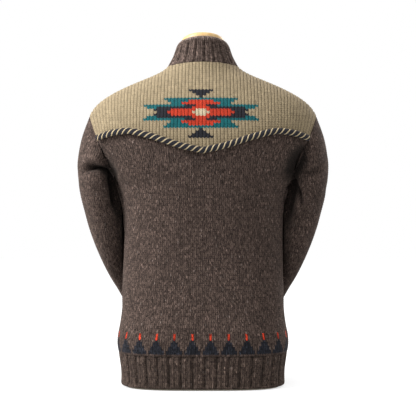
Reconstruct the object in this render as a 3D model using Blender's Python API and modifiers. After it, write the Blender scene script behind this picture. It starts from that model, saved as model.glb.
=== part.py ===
"""A wool pullover with a pointed yoke, standing on a limbless dress form with a wooden neck cap.

Metres, +Z up. A wearer would face -Y, so the garment's back faces +Y. The origin is the middle of the
dress form's base, on the surface that it stands on. The cloth is a real wall round an open inside. Its
panels are cut from one figure: a stack of rounded sections, whose sizes are in the tables below, in
millimetres.
"""

import math

import bpy
import numpy as np

MM = 0.001
BACK, FRONT = 1, -1

# Walls and seams, in millimetres
CLOTH = 3.2
RIB_WALL = 5.0
RIB_RISE = 2.2
SEAM_GAP = 0.5
ARMHOLE_GAP = 0.9

# Hem and ribbing
HEM_LIFT = 3.0
HEM_TOP = 70.0
HEM_DRAWN_IN = 3.5
HEM_RIBS = 42
COLLAR_RIBS = 21
CUFF_RIBS = 12

# The armhole is an ellipse in a slanted plane, from the underarm to the shoulder tip
UNDERARM_X, UNDERARM_Z = 180.0, 419.0
TIP_X, TIP_Z = 241.0, 566.0
ARMHOLE_REACH = {BACK: 70.0, FRONT: 62.0}

# The neckline runs round the base of the collar
NECK_HALF = 75.0
NECK_SIDE_Z = 672.0
NECK_Z = {BACK: 677.0, FRONT: 630.0}

# The collar's upper edge is a slanted ring, higher at the back
COLLAR_HALF, COLLAR_DEPTH = 53.0, 52.5
COLLAR_MIDDLE_Y = -1.0
COLLAR_TOP_Z, COLLAR_TILT = 718.0, 0.28

BODY_COLUMNS = ("height", "half_width")
BODY = (
    (0, 172.5),
    (30, 174.0),
    (52, 178.0),
    (72, 181.5),
    (86, 182.0),
    (104, 180.0),
    (130, 175.5),
    (165, 172.5),
    (200, 171.0),
    (257, 169.5),
    (334, 169.5),
    (375, 171.0),
    (400, 174.3),
    (UNDERARM_Z, UNDERARM_X),
)
SHOULDER = (
    (TIP_Z, TIP_X),
    (577, 235.0),
    (589, 225.5),
    (602, 210.0),
    (615, 189.0),
    (628, 163.0),
    (640, 135.5),
    (653, 104.5),
    (664, 84.0),
    (NECK_SIDE_Z, NECK_HALF),
    (682, 68.0),
    (700, 62.0),
)
DEPTH_COLUMNS = ("height", "back", "front", "roundness")
DEPTH = (
    (0, 123, 115, 3.2),
    (78, 126, 119, 3.1),
    (165, 118, 112, 2.8),
    (257, 112, 108, 2.5),
    (334, 114, 112, 2.4),
    (419, 122, 122, 2.5),
    (470, 128, 124, 2.5),
    (515, 129, 118, 2.5),
    (560, 120, 106, 2.4),
    (590, 107, 94, 2.3),
    (620, 90, 78, 2.2),
    (640, 77, 67, 2.1),
    (660, 65, 60, 2.0),
    (677, 58, 56, 2.0),
    (700, 54, 53, 2.0),
)

# The yoke's lower edge, as height at each distance from the middle: a point at the back, a shallower one in
# front
YOKE_LINE = {
    BACK: ((0, 489.0), (38, 497.0), (110, 519.0), (150, 528.0), (185, 525.0), (224, 514.0)),
    FRONT: ((0, 505.0), (38, 511.0), (110, 526.0), (150, 532.0), (185, 529.0), (224, 520.0)),
}
WALE_FAN, WALE_DRAW = 1.045, 0.13

# The left sleeve with its cuff, a row for each section: its edge nearer the body, its outer edge, and how
# far it reaches behind and before the line between them
SLEEVE_COLUMNS = ("in_x", "in_y", "in_z", "out_x", "out_y", "out_z", "back", "front")
SLEEVE = (
    (UNDERARM_X, 0, UNDERARM_Z, TIP_X, 0, TIP_Z, ARMHOLE_REACH[BACK], ARMHOLE_REACH[FRONT]),
    (182, 0, 416, 257, 0, 521, 71, 63),
    (183, -1, 412, 266, 0, 472, 70, 63),
    (183, -2, 405, 265, -1, 434, 68, 62),
    (181, -4, 392, 260, -4, 399, 66, 61),
    (178, -8, 371, 252, -8, 365, 63, 60),
    (176, -13, 344, 244, -15, 335, 61, 58),
    (172, -22, 316, 233, -28, 303, 58, 57),
    (166, -36, 288, 219, -49, 270, 55, 55),
    (154, -56, 261, 206, -73, 240, 52, 52),
    (137, -78, 235, 192, -98, 211, 49, 49),
    (122, -98, 211, 179, -120, 183, 46, 46),
    (105, -116, 188, 159, -138, 155, 43, 43),
    (84, -131, 166, 133, -150, 130, 38, 38),
    (66, -141, 145, 114, -157, 108, 36, 36),
    (46, -149, 124, 93, -163, 86, 35, 35),
)
SLEEVE_SECTIONS = (0, 0.6, 1, 1.3, 1.6, 1.9, 2.3, 2.9, 3.6, 4.4, 5.2, 6, 6.8, 7.6, 8.6, 9.7, 10.8)
SLEEVE_SECTIONS += (11.9, 13)
CUFF_SECTIONS = (13, 14, 15)
SLEEVE_SIDES = 22

# The sleeve is one piece of cloth. Its solid comes in three plainer lengths of tube, so that each is short
# enough to stay open inside: name, first section, last section
SLEEVE_LENGTHS = (("upper_sleeve", 0, 4.4), ("middle_sleeve", 4.4, 8.6), ("lower_sleeve", 8.6, 13))
BODY_CLEARANCE = 3.0

# Folds in the left sleeve, then the right: place along it in sections, angle round it in degrees (0 at the
# underarm, 90 behind, 180 outside), half length round it in degrees, half width along it in sections, depth
# in millimetres, and slant in sections
FOLD_COLUMNS = ("along", "round", "half_length", "half_width", "depth", "slant")
FOLDS = {
    1: (
        (1.45, 78, 55, 0.32, 9.0, 0.10),
        (1.05, 80, 48, 0.30, -5.0, 0.10),
        (7.3, 300, 60, 0.55, 6.0, -0.20),
        (4.2, 60, 38, 0.50, 4.0, 0.30),
    ),
    -1: (
        (1.30, 62, 45, 0.35, 8.0, -0.15),
        (2.60, 88, 40, 0.40, 4.5, 0.15),
        (7.0, 300, 60, 0.55, 6.0, 0.20),
        (4.4, 75, 34, 0.45, 3.5, -0.25),
    ),
}

# The trimming cord that covers the yoke's lower seam
CORD_RADIUS, CORD_SWELL = 4.4, 0.9
CORD_PITCH = 12.3
CORD_SIDES = 5
CORD_SLANT = 3.0

# The dress form: how far it stands inside the cloth, and its neck and cap
FORM_EASE = ((0, 7), (80, 9), (257, 5), (419, 6), (520, 5), (585, 3.2), (612, 3.5), (640, 3.5), (700, 3.5))
FORM_ARM_EASE = 24.0
FORM_LEVELS = (0, 12, 60, 120, 190, 260, 330, 390, 430, 465, 500, 530, 556, 574, 588, 600)
FORM_LEVELS += (611, 622, 632, 642, 651, 660)
FORM_SIDES = 32
FORM_NECK_COLUMNS = ("height", "half_width", "back", "front", "tilt")
FORM_NECK = (
    (670, 62, 50, 50, 0.04),
    (682, 53.5, 46.5, 48.5, 0.14),
    (696, 47, 43.5, 45.5, 0.24),
    (716, 45, 43, 45, 0.28),
)
CAP_RADIUS, CAP_THICK, CAP_ROUND = 45.5, 15.0, 6.0
CAP_SIDES = 28

# Grid of each panel
BODY_RISE, BODY_UPPER = 8, 6
YOKE_SHOULDER, YOKE_NECK, YOKE_RISE = 6, 8, 9

COLOURS = {
    "brown wool": ((0.068, 0.049, 0.041), 0.95),
    "tan wool": ((0.35, 0.28, 0.19), 0.95),
    "trim wool": ((0.03, 0.035, 0.045), 0.95),
    "linen": ((0.55, 0.48, 0.37), 0.9),
    "beech": ((0.78, 0.55, 0.29), 0.45),
}


def smooth(value, places, amounts):
    """A curve through (places, amounts) with no corner at any of them, read at value."""
    places, amounts = np.asarray(places, float), np.asarray(amounts, float)
    slopes = np.gradient(amounts, places)
    value = np.clip(value, places[0], places[-1])
    i = np.clip(np.searchsorted(places, value) - 1, 0, len(places) - 2)
    span = places[i + 1] - places[i]
    t = (value - places[i]) / span
    start = (1 + 2 * t) * (1 - t) ** 2 * amounts[i] + t * (1 - t) ** 2 * span * slopes[i]
    end = t * t * (3 - 2 * t) * amounts[i + 1] + t * t * (t - 1) * span * slopes[i + 1]
    return start + end


def column(table, columns, name):
    """One named column of a table."""
    return [row[columns.index(name)] for row in table]


def read(table, columns, name, height):
    """A table's column as a smooth curve over its first column."""
    return smooth(height, column(table, columns, columns[0]), column(table, columns, name))


def armhole_x(height):
    """How far out the slanted armhole plane lies at a height."""
    return UNDERARM_X + (height - UNDERARM_Z) * (TIP_X - UNDERARM_X) / (TIP_Z - UNDERARM_Z)


def armhole_y(side, height):
    """How far back or forward the armhole reaches at a height, from 0 at its two ends."""
    middle, half = (TIP_Z + UNDERARM_Z) / 2, (TIP_Z - UNDERARM_Z) / 2
    return ARMHOLE_REACH[side] * np.sqrt(np.clip(1 - ((height - middle) / half) ** 2, 0, 1))


def figure_depth(side, height):
    """The figure's greatest depth behind or before its middle plane at a height."""
    return read(DEPTH, DEPTH_COLUMNS, "back" if side == BACK else "front", height)


def roundness(height):
    """The exponent of the figure's section at a height: 2 is an ellipse, more is squarer."""
    return read(DEPTH, DEPTH_COLUMNS, "roundness", height)


def figure_half_width(side, height):
    """The section's half width. Between underarm and shoulder tip it is such that the section passes
    through the armhole's edge, and lies out of sight beyond it."""
    height = np.asarray(height, float)
    below = read(BODY, BODY_COLUMNS, "half_width", height)
    above = read(SHOULDER, BODY_COLUMNS, "half_width", height)
    power = roundness(height)
    share = np.clip(armhole_y(side, height) / figure_depth(side, height), 0, 0.95)
    beside = armhole_x(height) / (1 - share**power) ** (1 / power)
    return np.where(height <= UNDERARM_Z, below, np.where(height >= TIP_Z, above, beside))


def fullness(side, x, y, height):
    """The figure's implicit form: 1 on its surface, less inside it, more outside."""
    power = roundness(height)
    across = np.abs(x) / figure_half_width(side, height)
    deep = np.abs(y) / figure_depth(side, height)
    return across**power + deep**power


def surface_y(side, x, height):
    """The figure's surface behind or before the point (x, height)."""
    power = roundness(height)
    left = np.clip(1 - (np.abs(x) / figure_half_width(side, height)) ** power, 0, 1)
    return side * figure_depth(side, height) * left ** (1 / power)


def outward(side, points):
    """Unit normals of the figure at points on its surface: the slope of its implicit form."""
    x, y, z = points[..., 0], points[..., 1], points[..., 2]
    step = 0.5
    power = roundness(z)
    half, deep = figure_half_width(side, z), figure_depth(side, z)
    slope_x = np.sign(x) * power * np.abs(x) ** (power - 1) / half**power
    slope_y = side * power * np.abs(y) ** (power - 1) / deep**power
    slope_z = (fullness(side, x, y, z + step) - fullness(side, x, y, z - step)) / (2 * step)
    normal = np.stack([slope_x, slope_y, slope_z], axis=-1)
    return normal / np.linalg.norm(normal, axis=-1, keepdims=True)


def resample(points, count, closed):
    """The same line with its points evenly spaced along it."""
    if closed:
        points = np.vstack([points, points[:1]])
    run = np.concatenate([[0], np.cumsum(np.linalg.norm(np.diff(points, axis=0), axis=1))])
    places = np.linspace(0, run[-1], count + 1 if closed else count)
    spaced = np.stack([np.interp(places, run, points[:, k]) for k in range(3)], axis=-1)
    return spaced[:-1] if closed else spaced


def make_materials():
    """One Principled BSDF for each named colour."""
    made = {}
    for name, (colour, roughness_value) in COLOURS.items():
        material = bpy.data.materials.new(name)
        material.use_nodes = True
        shader = material.node_tree.nodes["Principled BSDF"]
        shader.inputs["Base Color"].default_value = (*colour, 1.0)
        shader.inputs["Roughness"].default_value = roughness_value
        made[name] = material
    return made


def grid_faces(rows, columns, wraps, start):
    """Quads of a grid of points numbered row by row from start."""
    last = columns if wraps else columns - 1
    faces = []
    for r in range(rows - 1):
        for c in range(last):
            d = (c + 1) % columns
            a, b = start + r * columns, start + (r + 1) * columns
            faces.append((a + c, a + d, b + d, b + c))
    return faces


def wall(name, outer, inner, wraps, material, collection):
    """A closed solid between two grids of points in millimetres, joined along their edges."""
    rows, columns = outer.shape[:2]
    count = rows * columns
    faces = grid_faces(rows, columns, wraps, 0)
    faces += [face[::-1] for face in grid_faces(rows, columns, wraps, count)]
    last = columns if wraps else columns - 1
    for r, turned in ((0, True), (rows - 1, False)):
        for c in range(last):
            a, b = r * columns + c, r * columns + (c + 1) % columns
            rim = (a, b, b + count, a + count)
            faces.append(rim[::-1] if turned else rim)
    if not wraps:
        for c, turned in ((0, False), (columns - 1, True)):
            for r in range(rows - 1):
                a, b = r * columns + c, (r + 1) * columns + c
                rim = (a, b, b + count, a + count)
                faces.append(rim[::-1] if turned else rim)
    points = np.concatenate([outer.reshape(-1, 3), inner.reshape(-1, 3)])
    return solid(name, points, faces, material, collection)


def solid(name, points, faces, material, collection):
    """A mesh object from points in millimetres, with its faces turned outwards."""
    mesh = bpy.data.meshes.new(name)
    mesh.from_pydata((points * MM).tolist(), [], faces)
    mesh.update()
    volume = 0.0
    for face in mesh.polygons:
        corners = [mesh.vertices[i].co for i in face.vertices]
        for k in range(1, len(corners) - 1):
            volume += corners[0].dot(corners[k].cross(corners[k + 1]))
    if volume < 0:
        mesh.flip_normals()
    mesh.shade_smooth()
    mesh.materials.append(material)
    made = bpy.data.objects.new(name, mesh)
    collection.objects.link(made)
    return made


def capped(name, rings, material, collection):
    """A closed solid from a stack of rings, with a flat fan over each end."""
    rows, columns = rings.shape[:2]
    faces = grid_faces(rows, columns, True, 0)
    points = np.concatenate([rings.reshape(-1, 3), [rings[0].mean(0)], [rings[-1].mean(0)]])
    bottom, top = rows * columns, rows * columns + 1
    for c in range(columns):
        d = (c + 1) % columns
        faces.append((bottom, d, c))
        faces.append((top, (rows - 1) * columns + c, (rows - 1) * columns + d))
    return solid(name, points, faces, material, collection)


def yoke_height(side, x):
    """Height of the yoke's lower edge at a distance from the middle."""
    places, heights = zip(*YOKE_LINE[side])
    return smooth(np.abs(x), places, heights)


def ridge_height(x):
    """Height of the shoulder's ridge at a distance from the middle."""
    heights = np.linspace(TIP_Z, SHOULDER[-1][0], 400)
    widths = read(SHOULDER, BODY_COLUMNS, "half_width", heights)
    return np.interp(-np.abs(x), -widths, heights)


def neckline_height(side, x):
    """Height of the neckline at a distance from the middle."""
    return NECK_Z[side] + (NECK_SIDE_Z - NECK_Z[side]) * (x / NECK_HALF) ** 2


def panel_points(side, across, height):
    """Points of a body panel: across runs from -1 to 1 between its side edges, at each height."""
    power = roundness(height)
    half = figure_half_width(side, height)
    edge = np.where(height <= UNDERARM_Z, 1.0, np.clip(armhole_x(height) / half, 0, 1))
    turn = across * np.arcsin(np.clip(edge ** (power / 2), 0, 1))
    x = half * np.sign(turn) * np.abs(np.sin(turn)) ** (2 / power)
    y = side * figure_depth(side, height) * np.abs(np.cos(turn)) ** (2 / power)
    return np.stack([x, y, np.broadcast_to(height, x.shape)], axis=-1)


def yoke_corner(side):
    """Where the yoke's lower edge meets the armhole."""
    height = 515.0
    for _ in range(12):
        height = float(yoke_height(side, armhole_x(height)))
    return armhole_x(height)


def yoke_columns(side):
    """Distances from the middle of the yoke's lines of stitches, at its lower edge and at its top. On the
    top they are evenly spaced round the neckline and along each shoulder."""
    shoulder = np.linspace(NECK_HALF, TIP_X, YOKE_SHOULDER + 1)
    neck = NECK_HALF * np.sin(np.linspace(-math.pi / 2, math.pi / 2, YOKE_NECK + 1))[1:-1]
    top_x = np.concatenate([-shoulder[::-1], neck, shoulder])
    low_x = top_x * (WALE_FAN - WALE_DRAW * (top_x / TIP_X) ** 2)
    return low_x * yoke_corner(side) / low_x.max(), top_x


def body_panel(side):
    """The front or back below the yoke: rows from the hem's seam to the underarm, then up to the yoke's
    seam. The columns are even at the hem and end on the yoke's own columns."""
    low_x, _ = yoke_columns(side)
    top = yoke_height(side, low_x)
    power = roundness(top)
    half = figure_half_width(side, top)
    turn = np.arcsin(np.clip(np.abs(low_x) / half, 0, 1) ** (power / 2))
    edge_turn = np.arcsin(np.clip(armhole_x(top) / half, 0, 1) ** (power / 2))
    matched = np.clip(np.sign(low_x) * turn / edge_turn, -1, 1)
    even = np.linspace(-1, 1, len(low_x))
    rows = []
    for height in np.linspace(HEM_TOP + SEAM_GAP / 2, UNDERARM_Z, BODY_RISE + 1):
        rows.append(panel_points(side, even, np.full(even.shape, height)))
    for k in range(1, BODY_UPPER + 1):
        share = (k / BODY_UPPER) ** 1.5
        across = even + (matched - even) * share
        rows.append(panel_points(side, across, UNDERARM_Z + (top - SEAM_GAP / 2 - UNDERARM_Z) * share))
    return np.stack(rows)


def yoke_panel(side):
    """The yoke: lines of stitches from its lower edge up to the shoulder seam or the neckline."""
    low_x, top_x = yoke_columns(side)
    lines = []
    for x_low, x_top in zip(low_x, top_x):
        on_neck = abs(x_top) < NECK_HALF - 1e-6
        z_top = float(neckline_height(side, x_top) if on_neck else ridge_height(x_top))
        z_low = float(yoke_height(side, x_low)) + SEAM_GAP / 2
        rise = 1 - (1 - np.linspace(0, 1, 120)) ** 2
        x, z = x_low + (x_top - x_low) * rise, z_low + (z_top - z_low) * rise
        line = np.stack([x, surface_y(side, x, z), z], axis=-1)
        lines.append(resample(line, YOKE_RISE + 1, closed=False))
    return np.stack(lines, axis=1)


def cloth_wall(name, side, points, material, collection):
    """A panel's wall: its outer face on the figure and its inner face one thickness in."""
    shift = np.array([0, side * SEAM_GAP / 2, 0])
    inner = points - CLOTH * outward(side, points)
    return wall(name, points + shift, inner + shift, False, material, collection)


def figure_ring(height, count):
    """Points evenly spaced all round the figure at one height, with their outward normals."""
    turn = np.linspace(0, 2 * math.pi, 721)[:-1]
    power = float(roundness(height))
    side = np.where(np.sin(turn) >= 0, BACK, FRONT)
    half = np.where(side == BACK, figure_half_width(BACK, height), figure_half_width(FRONT, height))
    deep = np.where(side == BACK, figure_depth(BACK, height), figure_depth(FRONT, height))
    x = half * np.sign(np.cos(turn)) * np.abs(np.cos(turn)) ** (2 / power)
    y = deep * np.sign(np.sin(turn)) * np.abs(np.sin(turn)) ** (2 / power)
    ring = resample(np.stack([x, y, np.full(x.shape, float(height))], axis=-1), count, closed=True)
    back = ring[:, 1] >= 0
    normals = np.where(back[:, None], outward(BACK, ring), outward(FRONT, ring))
    return ring, normals


def flat_normals(normals):
    """The same directions laid level."""
    level = normals * np.array([1, 1, 0])
    return level / np.linalg.norm(level, axis=-1, keepdims=True)


def rib_pattern(ribs):
    """Heights of a rib's three columns, crest, crest and groove, all round."""
    return np.tile([0.0, 0.0, -RIB_RISE], ribs)


def hem_band(material, collection):
    """The ribbed hem: ribs raised in the outer points over a plain inside."""
    outer, inner = [], []
    for height in (HEM_LIFT, HEM_LIFT + 30, HEM_TOP - SEAM_GAP / 2):
        ring, normals = figure_ring(height, HEM_RIBS * 3)
        level = flat_normals(normals)
        drawn_in = HEM_DRAWN_IN * np.clip((height - 30) / 40, 0, 1)
        relief = rib_pattern(HEM_RIBS)[:, None]
        outer.append(ring + level * (relief - drawn_in))
        inner.append(ring - level * (RIB_WALL + drawn_in))
    return wall("hem_rib", np.stack(outer), np.stack(inner), True, material, collection)


def neckline_ring(count):
    """The neckline as a closed ring of evenly spaced points along the two yokes' own edges."""
    edges = []
    for side in (BACK, FRONT):
        points = yoke_panel(side)[-1]
        on_neck = np.abs(points[:, 0]) < NECK_HALF + 1e-6
        edges.append(points[on_neck][::side])
    ring = np.vstack([edges[0][:-1], edges[1][:-1]])
    start = int(np.argmax(ring[:, 1]))
    return resample(np.roll(ring, -start, axis=0), count, closed=True)


def collar(material, collection):
    """The stand-up ribbed collar: rings from the neckline to the slanted upper edge, rounded over softly."""
    columns = COLLAR_RIBS * 3
    base = neckline_ring(columns) + np.array([0, 0, SEAM_GAP])
    turn = np.linspace(0, 2 * math.pi, columns + 1)[:-1]
    top_y = COLLAR_MIDDLE_Y + COLLAR_DEPTH * np.cos(turn)
    top = np.stack([COLLAR_HALF * np.sin(turn), top_y, COLLAR_TOP_Z + COLLAR_TILT * top_y], axis=-1)
    outer, inner = [], []
    for share, bulge, relief_share, wall_share in (
        (0.0, 0.0, 1.0, 1.0),
        (0.42, -1.6, 1.0, 1.0),
        (0.80, 0.4, 1.0, 1.0),
        (0.965, 0.0, 0.4, 0.85),
        (1.0, -2.0, 0.0, 0.45),
    ):
        ring = base + (top - base) * share
        tangent = np.roll(ring, -1, axis=0) - np.roll(ring, 1, axis=0)
        level = flat_normals(np.cross(np.array([0, 0, 1.0]), tangent))
        level *= np.sign((level * (ring - ring.mean(0))).sum(-1, keepdims=True))
        relief = rib_pattern(COLLAR_RIBS)[:, None] * relief_share
        outer.append(ring + level * (bulge + relief))
        inner.append(ring + level * (bulge - RIB_WALL * wall_share))
    return wall("collar_rib", np.stack(outer), np.stack(inner), True, material, collection)


def sleeve_value(name, places):
    """One of the sleeve table's columns, read at places counted in its rows."""
    return smooth(places, np.arange(len(SLEEVE)), column(SLEEVE, SLEEVE_COLUMNS, name))


def sleeve_edges(places):
    """The nearer and outer edge points of the sleeve's sections at places."""
    near = np.stack([sleeve_value(name, places) for name in ("in_x", "in_y", "in_z")], axis=-1)
    far = np.stack([sleeve_value(name, places) for name in ("out_x", "out_y", "out_z")], axis=-1)
    return near, far


def sleeve_frame(places):
    """Middle, half width, outward direction and backward direction of each section at places."""
    near, far = sleeve_edges(places)
    across = far - near
    half = np.linalg.norm(across, axis=-1)[:, None] / 2
    across /= 2 * half
    ahead, behind = np.minimum(places + 0.3, len(SLEEVE) - 1), np.maximum(places - 0.3, 0)
    path = sum(sleeve_edges(ahead)) - sum(sleeve_edges(behind))
    rear = np.cross(across, path)
    rear /= np.linalg.norm(rear, axis=-1, keepdims=True)
    return (near + far) / 2, half, across, rear


def fold_relief(hand, place, turn):
    """How far the folds move the cloth in, at a place along the sleeve and a turn round it in degrees."""
    moved = 0.0
    for row in FOLDS[hand]:
        fold = dict(zip(FOLD_COLUMNS, row))
        round_off = (turn - fold["round"] + 180) % 360 - 180
        along_off = place - fold["along"] - fold["slant"] * round_off / fold["half_length"]
        spread = 1.5 * (round_off / fold["half_length"]) ** 2 + (along_off / fold["half_width"]) ** 2
        shape = np.exp(-spread)
        moved = moved + fold["depth"] * shape
    return moved


def clear_of_body(points, clearance):
    """Points that would lie in the body are moved level, out to its surface and a little past it."""
    x, y, z = points[:, 0], points[:, 1], np.clip(points[:, 2], HEM_LIFT, UNDERARM_Z)
    side = np.where(y >= 0, BACK, FRONT)
    power = roundness(z)
    half = np.where(side == BACK, figure_half_width(BACK, z), figure_half_width(FRONT, z)) + clearance
    deep = np.where(side == BACK, figure_depth(BACK, z), figure_depth(FRONT, z)) + clearance
    inside = (np.abs(x) / half) ** power + (np.abs(y) / deep) ** power
    grow = np.where(inside < 1, inside ** (-1 / power), 1.0)
    return points * np.stack([grow, grow, np.ones_like(grow)], axis=-1)


def sleeve_rings(places, sides, hand, thickness, relief):
    """Outer and inner rings of a sleeve or cuff, for the left side."""
    middle, half, across, rear = sleeve_frame(places)
    back, front = sleeve_value("back", places), sleeve_value("front", places)
    turn = np.linspace(0, 2 * math.pi, sides + 1)[:-1]
    outer, inner = [], []
    for k, place in enumerate(places):
        reach = np.where(np.sin(turn) >= 0, back[k], front[k])
        side_way = (half[k] * np.cos(turn))[:, None] * across[k]
        ring = middle[k] - side_way + (reach * np.sin(turn))[:, None] * rear[k]
        along = np.cross(rear[k], across[k])
        tangent = np.roll(ring, -1, axis=0) - np.roll(ring, 1, axis=0)
        away = np.cross(tangent, along)
        away *= np.sign((away * (ring - middle[k])).sum(-1, keepdims=True))
        away /= np.linalg.norm(away, axis=-1, keepdims=True)
        ring = ring - away * fold_relief(hand, place, np.degrees(turn))[:, None]
        if place > 0:
            ring = clear_of_body(ring, BODY_CLEARANCE)
        outer.append(ring + away * relief[:, None])
        inner.append(ring - away * thickness)
    return np.stack(outer), np.stack(inner)


def handed(points, hand):
    """Left points as they are, or mirrored for the right."""
    return points * np.array([hand, 1, 1])


def sleeve(name, hand, first, last, material, collection):
    """One length of a set-in sleeve, which runs from the armhole to the cuff's seam."""
    places = np.array([place for place in SLEEVE_SECTIONS if first <= place <= last], float)
    outer, inner = sleeve_rings(places, SLEEVE_SIDES, hand, CLOTH, np.zeros(SLEEVE_SIDES))
    if first == 0:
        slope = np.array([TIP_Z - UNDERARM_Z, 0, UNDERARM_X - TIP_X])
        step = slope / np.linalg.norm(slope) * ARMHOLE_GAP
    else:
        step = seam_step(first)
    outer[0] += step
    inner[0] += step
    return wall(name, handed(outer, hand), handed(inner, hand), True, material, collection)


def seam_step(place):
    """The gap at a seam round the sleeve, as a step along it."""
    near = np.array([place - 0.3, place + 0.3])
    path = np.diff(sum(sleeve_edges(near)), axis=0)[0]
    return path / np.linalg.norm(path) * SEAM_GAP


def cuff(name, hand, material, collection):
    """A ribbed cuff that goes on from the sleeve's end."""
    places = np.array(CUFF_SECTIONS, float)
    outer, inner = sleeve_rings(places, CUFF_RIBS * 3, hand, RIB_WALL, rib_pattern(CUFF_RIBS))
    step = seam_step(places[0])
    outer[0] += step
    inner[0] += step
    return wall(name, handed(outer, hand), handed(inner, hand), True, material, collection)


def trim_cord(name, side, material, collection):
    """The cord over the yoke's lower seam: a tube that swells at each slanting turn of its twist."""
    reach = yoke_corner(side) - CORD_RADIUS
    x = np.linspace(-reach, reach, 601)
    z = yoke_height(side, x)
    line = np.stack([x, surface_y(side, x, z), z], axis=-1)
    line += outward(side, line) * (CORD_RADIUS + CORD_SWELL + SEAM_GAP)
    length = np.linalg.norm(np.diff(line, axis=0), axis=1).sum()
    turns = round(length / CORD_PITCH)
    path = resample(line, 2 * turns + 1, closed=False)
    along = np.gradient(path, axis=0)
    along /= np.linalg.norm(along, axis=-1, keepdims=True)
    away = outward(side, path)
    up = np.cross(away, along)
    up /= np.linalg.norm(up, axis=-1, keepdims=True)
    up *= np.sign(up[:, 2:])
    turn = np.linspace(0, 2 * math.pi, CORD_SIDES + 1)[:-1][None, :, None]
    swell = np.where(np.arange(len(path)) % 2 == 0, -CORD_SWELL, CORD_SWELL)[:, None, None]
    radius = CORD_RADIUS + swell
    rings = path[:, None] + radius * (np.cos(turn) * up[:, None] + np.sin(turn) * away[:, None])
    lean = np.where((np.arange(len(path)) > 0) & (np.arange(len(path)) < len(path) - 1), CORD_SLANT, 0)
    rings += np.cos(turn) * lean[:, None, None] * -side * np.sign(along[:, None, :1]) * along[:, None]
    return capped(name, rings, material, collection)


def form_ease(height, beside):
    """How far the dress form stands inside the cloth. Its arm ends stay well inside the armholes."""
    plain = smooth(height, *zip(*FORM_EASE))
    armhole = np.clip(1 - ((height - 500) / 82) ** 2, 0, 1)
    return plain + FORM_ARM_EASE * armhole * beside**6


def dress_form(material, collection):
    """The torso inside the garment: the figure drawn in, a neck, and a flat base to stand on."""
    turn = np.linspace(0, 2 * math.pi, FORM_SIDES + 1)[:-1]
    back = np.sin(turn) >= -1e-9
    rings = []
    for height in FORM_LEVELS:
        z = np.full(turn.shape, float(height))
        power = float(roundness(height))
        half = np.where(back, figure_half_width(BACK, z), figure_half_width(FRONT, z))
        deep = np.where(back, figure_depth(BACK, z), figure_depth(FRONT, z))
        x = half * np.sign(np.cos(turn)) * np.abs(np.cos(turn)) ** (2 / power)
        y = deep * np.sign(np.sin(turn)) * np.abs(np.sin(turn)) ** (2 / power)
        ring = np.stack([x, y, z], axis=-1)
        normals = np.where(back[:, None], outward(BACK, ring), outward(FRONT, ring))
        drawn = (CLOTH + form_ease(height, np.abs(np.cos(turn))))[:, None]
        if height < UNDERARM_Z:
            normals = flat_normals(normals)
        rings.append(ring - normals * drawn)
    for row in FORM_NECK:
        level = dict(zip(FORM_NECK_COLUMNS, row))
        y = np.where(back, level["back"], level["front"]) * np.sin(turn)
        x = level["half_width"] * np.cos(turn)
        rings.append(np.stack([x, y, level["height"] + level["tilt"] * y], axis=-1))
    return capped("dress_form", np.stack(rings), material, collection)


def neck_cap(material, collection):
    """The turned wooden cap on the form's neck: a profile spun round its axis, then tilted to the neck."""
    corners = [math.radians(90 * k / 4) for k in range(5)]
    profile = [(0, CAP_THICK)]
    for turn in corners:
        radius = CAP_RADIUS - CAP_ROUND * (1 - math.sin(turn))
        profile.append((radius, CAP_THICK - CAP_ROUND * (1 - math.cos(turn))))
    profile += [(CAP_RADIUS, CAP_ROUND / 2), (CAP_RADIUS - CAP_ROUND / 2, 0), (0, 0)]
    mesh = bpy.data.meshes.new("neck_cap")
    points = [(r * MM, 0, z * MM) for r, z in profile]
    mesh.from_pydata(points, [(k, k + 1) for k in range(len(points) - 1)], [])
    mesh.materials.append(material)
    made = bpy.data.objects.new("neck_cap", mesh)
    collection.objects.link(made)
    spin = made.modifiers.new("turned on a lathe", "SCREW")
    spin.steps = spin.render_steps = CAP_SIDES
    spin.use_merge_vertices = True
    spin.merge_threshold = 0.00001
    spin.use_normal_calculate = True
    top = dict(zip(FORM_NECK_COLUMNS, FORM_NECK[-1]))
    middle_y = (top["back"] - top["front"]) / 2
    made.location = (0, middle_y * MM, (top["height"] + top["tilt"] * middle_y + SEAM_GAP) * MM)
    made.rotation_euler = (math.atan(top["tilt"]), 0, 0)
    return made


def main():
    for old in list(bpy.data.objects):
        bpy.data.objects.remove(old)
    collection = bpy.data.collections.new("pullover on a dress form")
    bpy.context.scene.collection.children.link(collection)
    materials = make_materials()
    brown, tan, trim = materials["brown wool"], materials["tan wool"], materials["trim wool"]
    for side, word in ((BACK, "back"), (FRONT, "front")):
        cloth_wall(f"{word}_panel", side, body_panel(side), brown, collection)
        cloth_wall(f"{word}_yoke", side, yoke_panel(side), tan, collection)
        trim_cord(f"{word}_trim_cord", side, trim, collection)
    for hand, word in ((1, "left"), (-1, "right")):
        for length, first, last in SLEEVE_LENGTHS:
            sleeve(f"{word}_{length}", hand, first, last, brown, collection)
        cuff(f"{word}_cuff", hand, brown, collection)
    hem_band(brown, collection)
    collar(brown, collection)
    dress_form(materials["linen"], collection)
    neck_cap(materials["beech"], collection)


main()
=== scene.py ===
# %% [markdown]
# # A wool pullover on a dress form, seen from behind
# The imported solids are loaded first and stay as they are. Every piece made below lies in the same frame, in
# metres, and stands for one or more of the solids. Shapes are worked out in millimetres, because a knitter's
# numbers are easiest to read that way, and turned into metres when a mesh is made.

# %% Load the solids
import math

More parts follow.
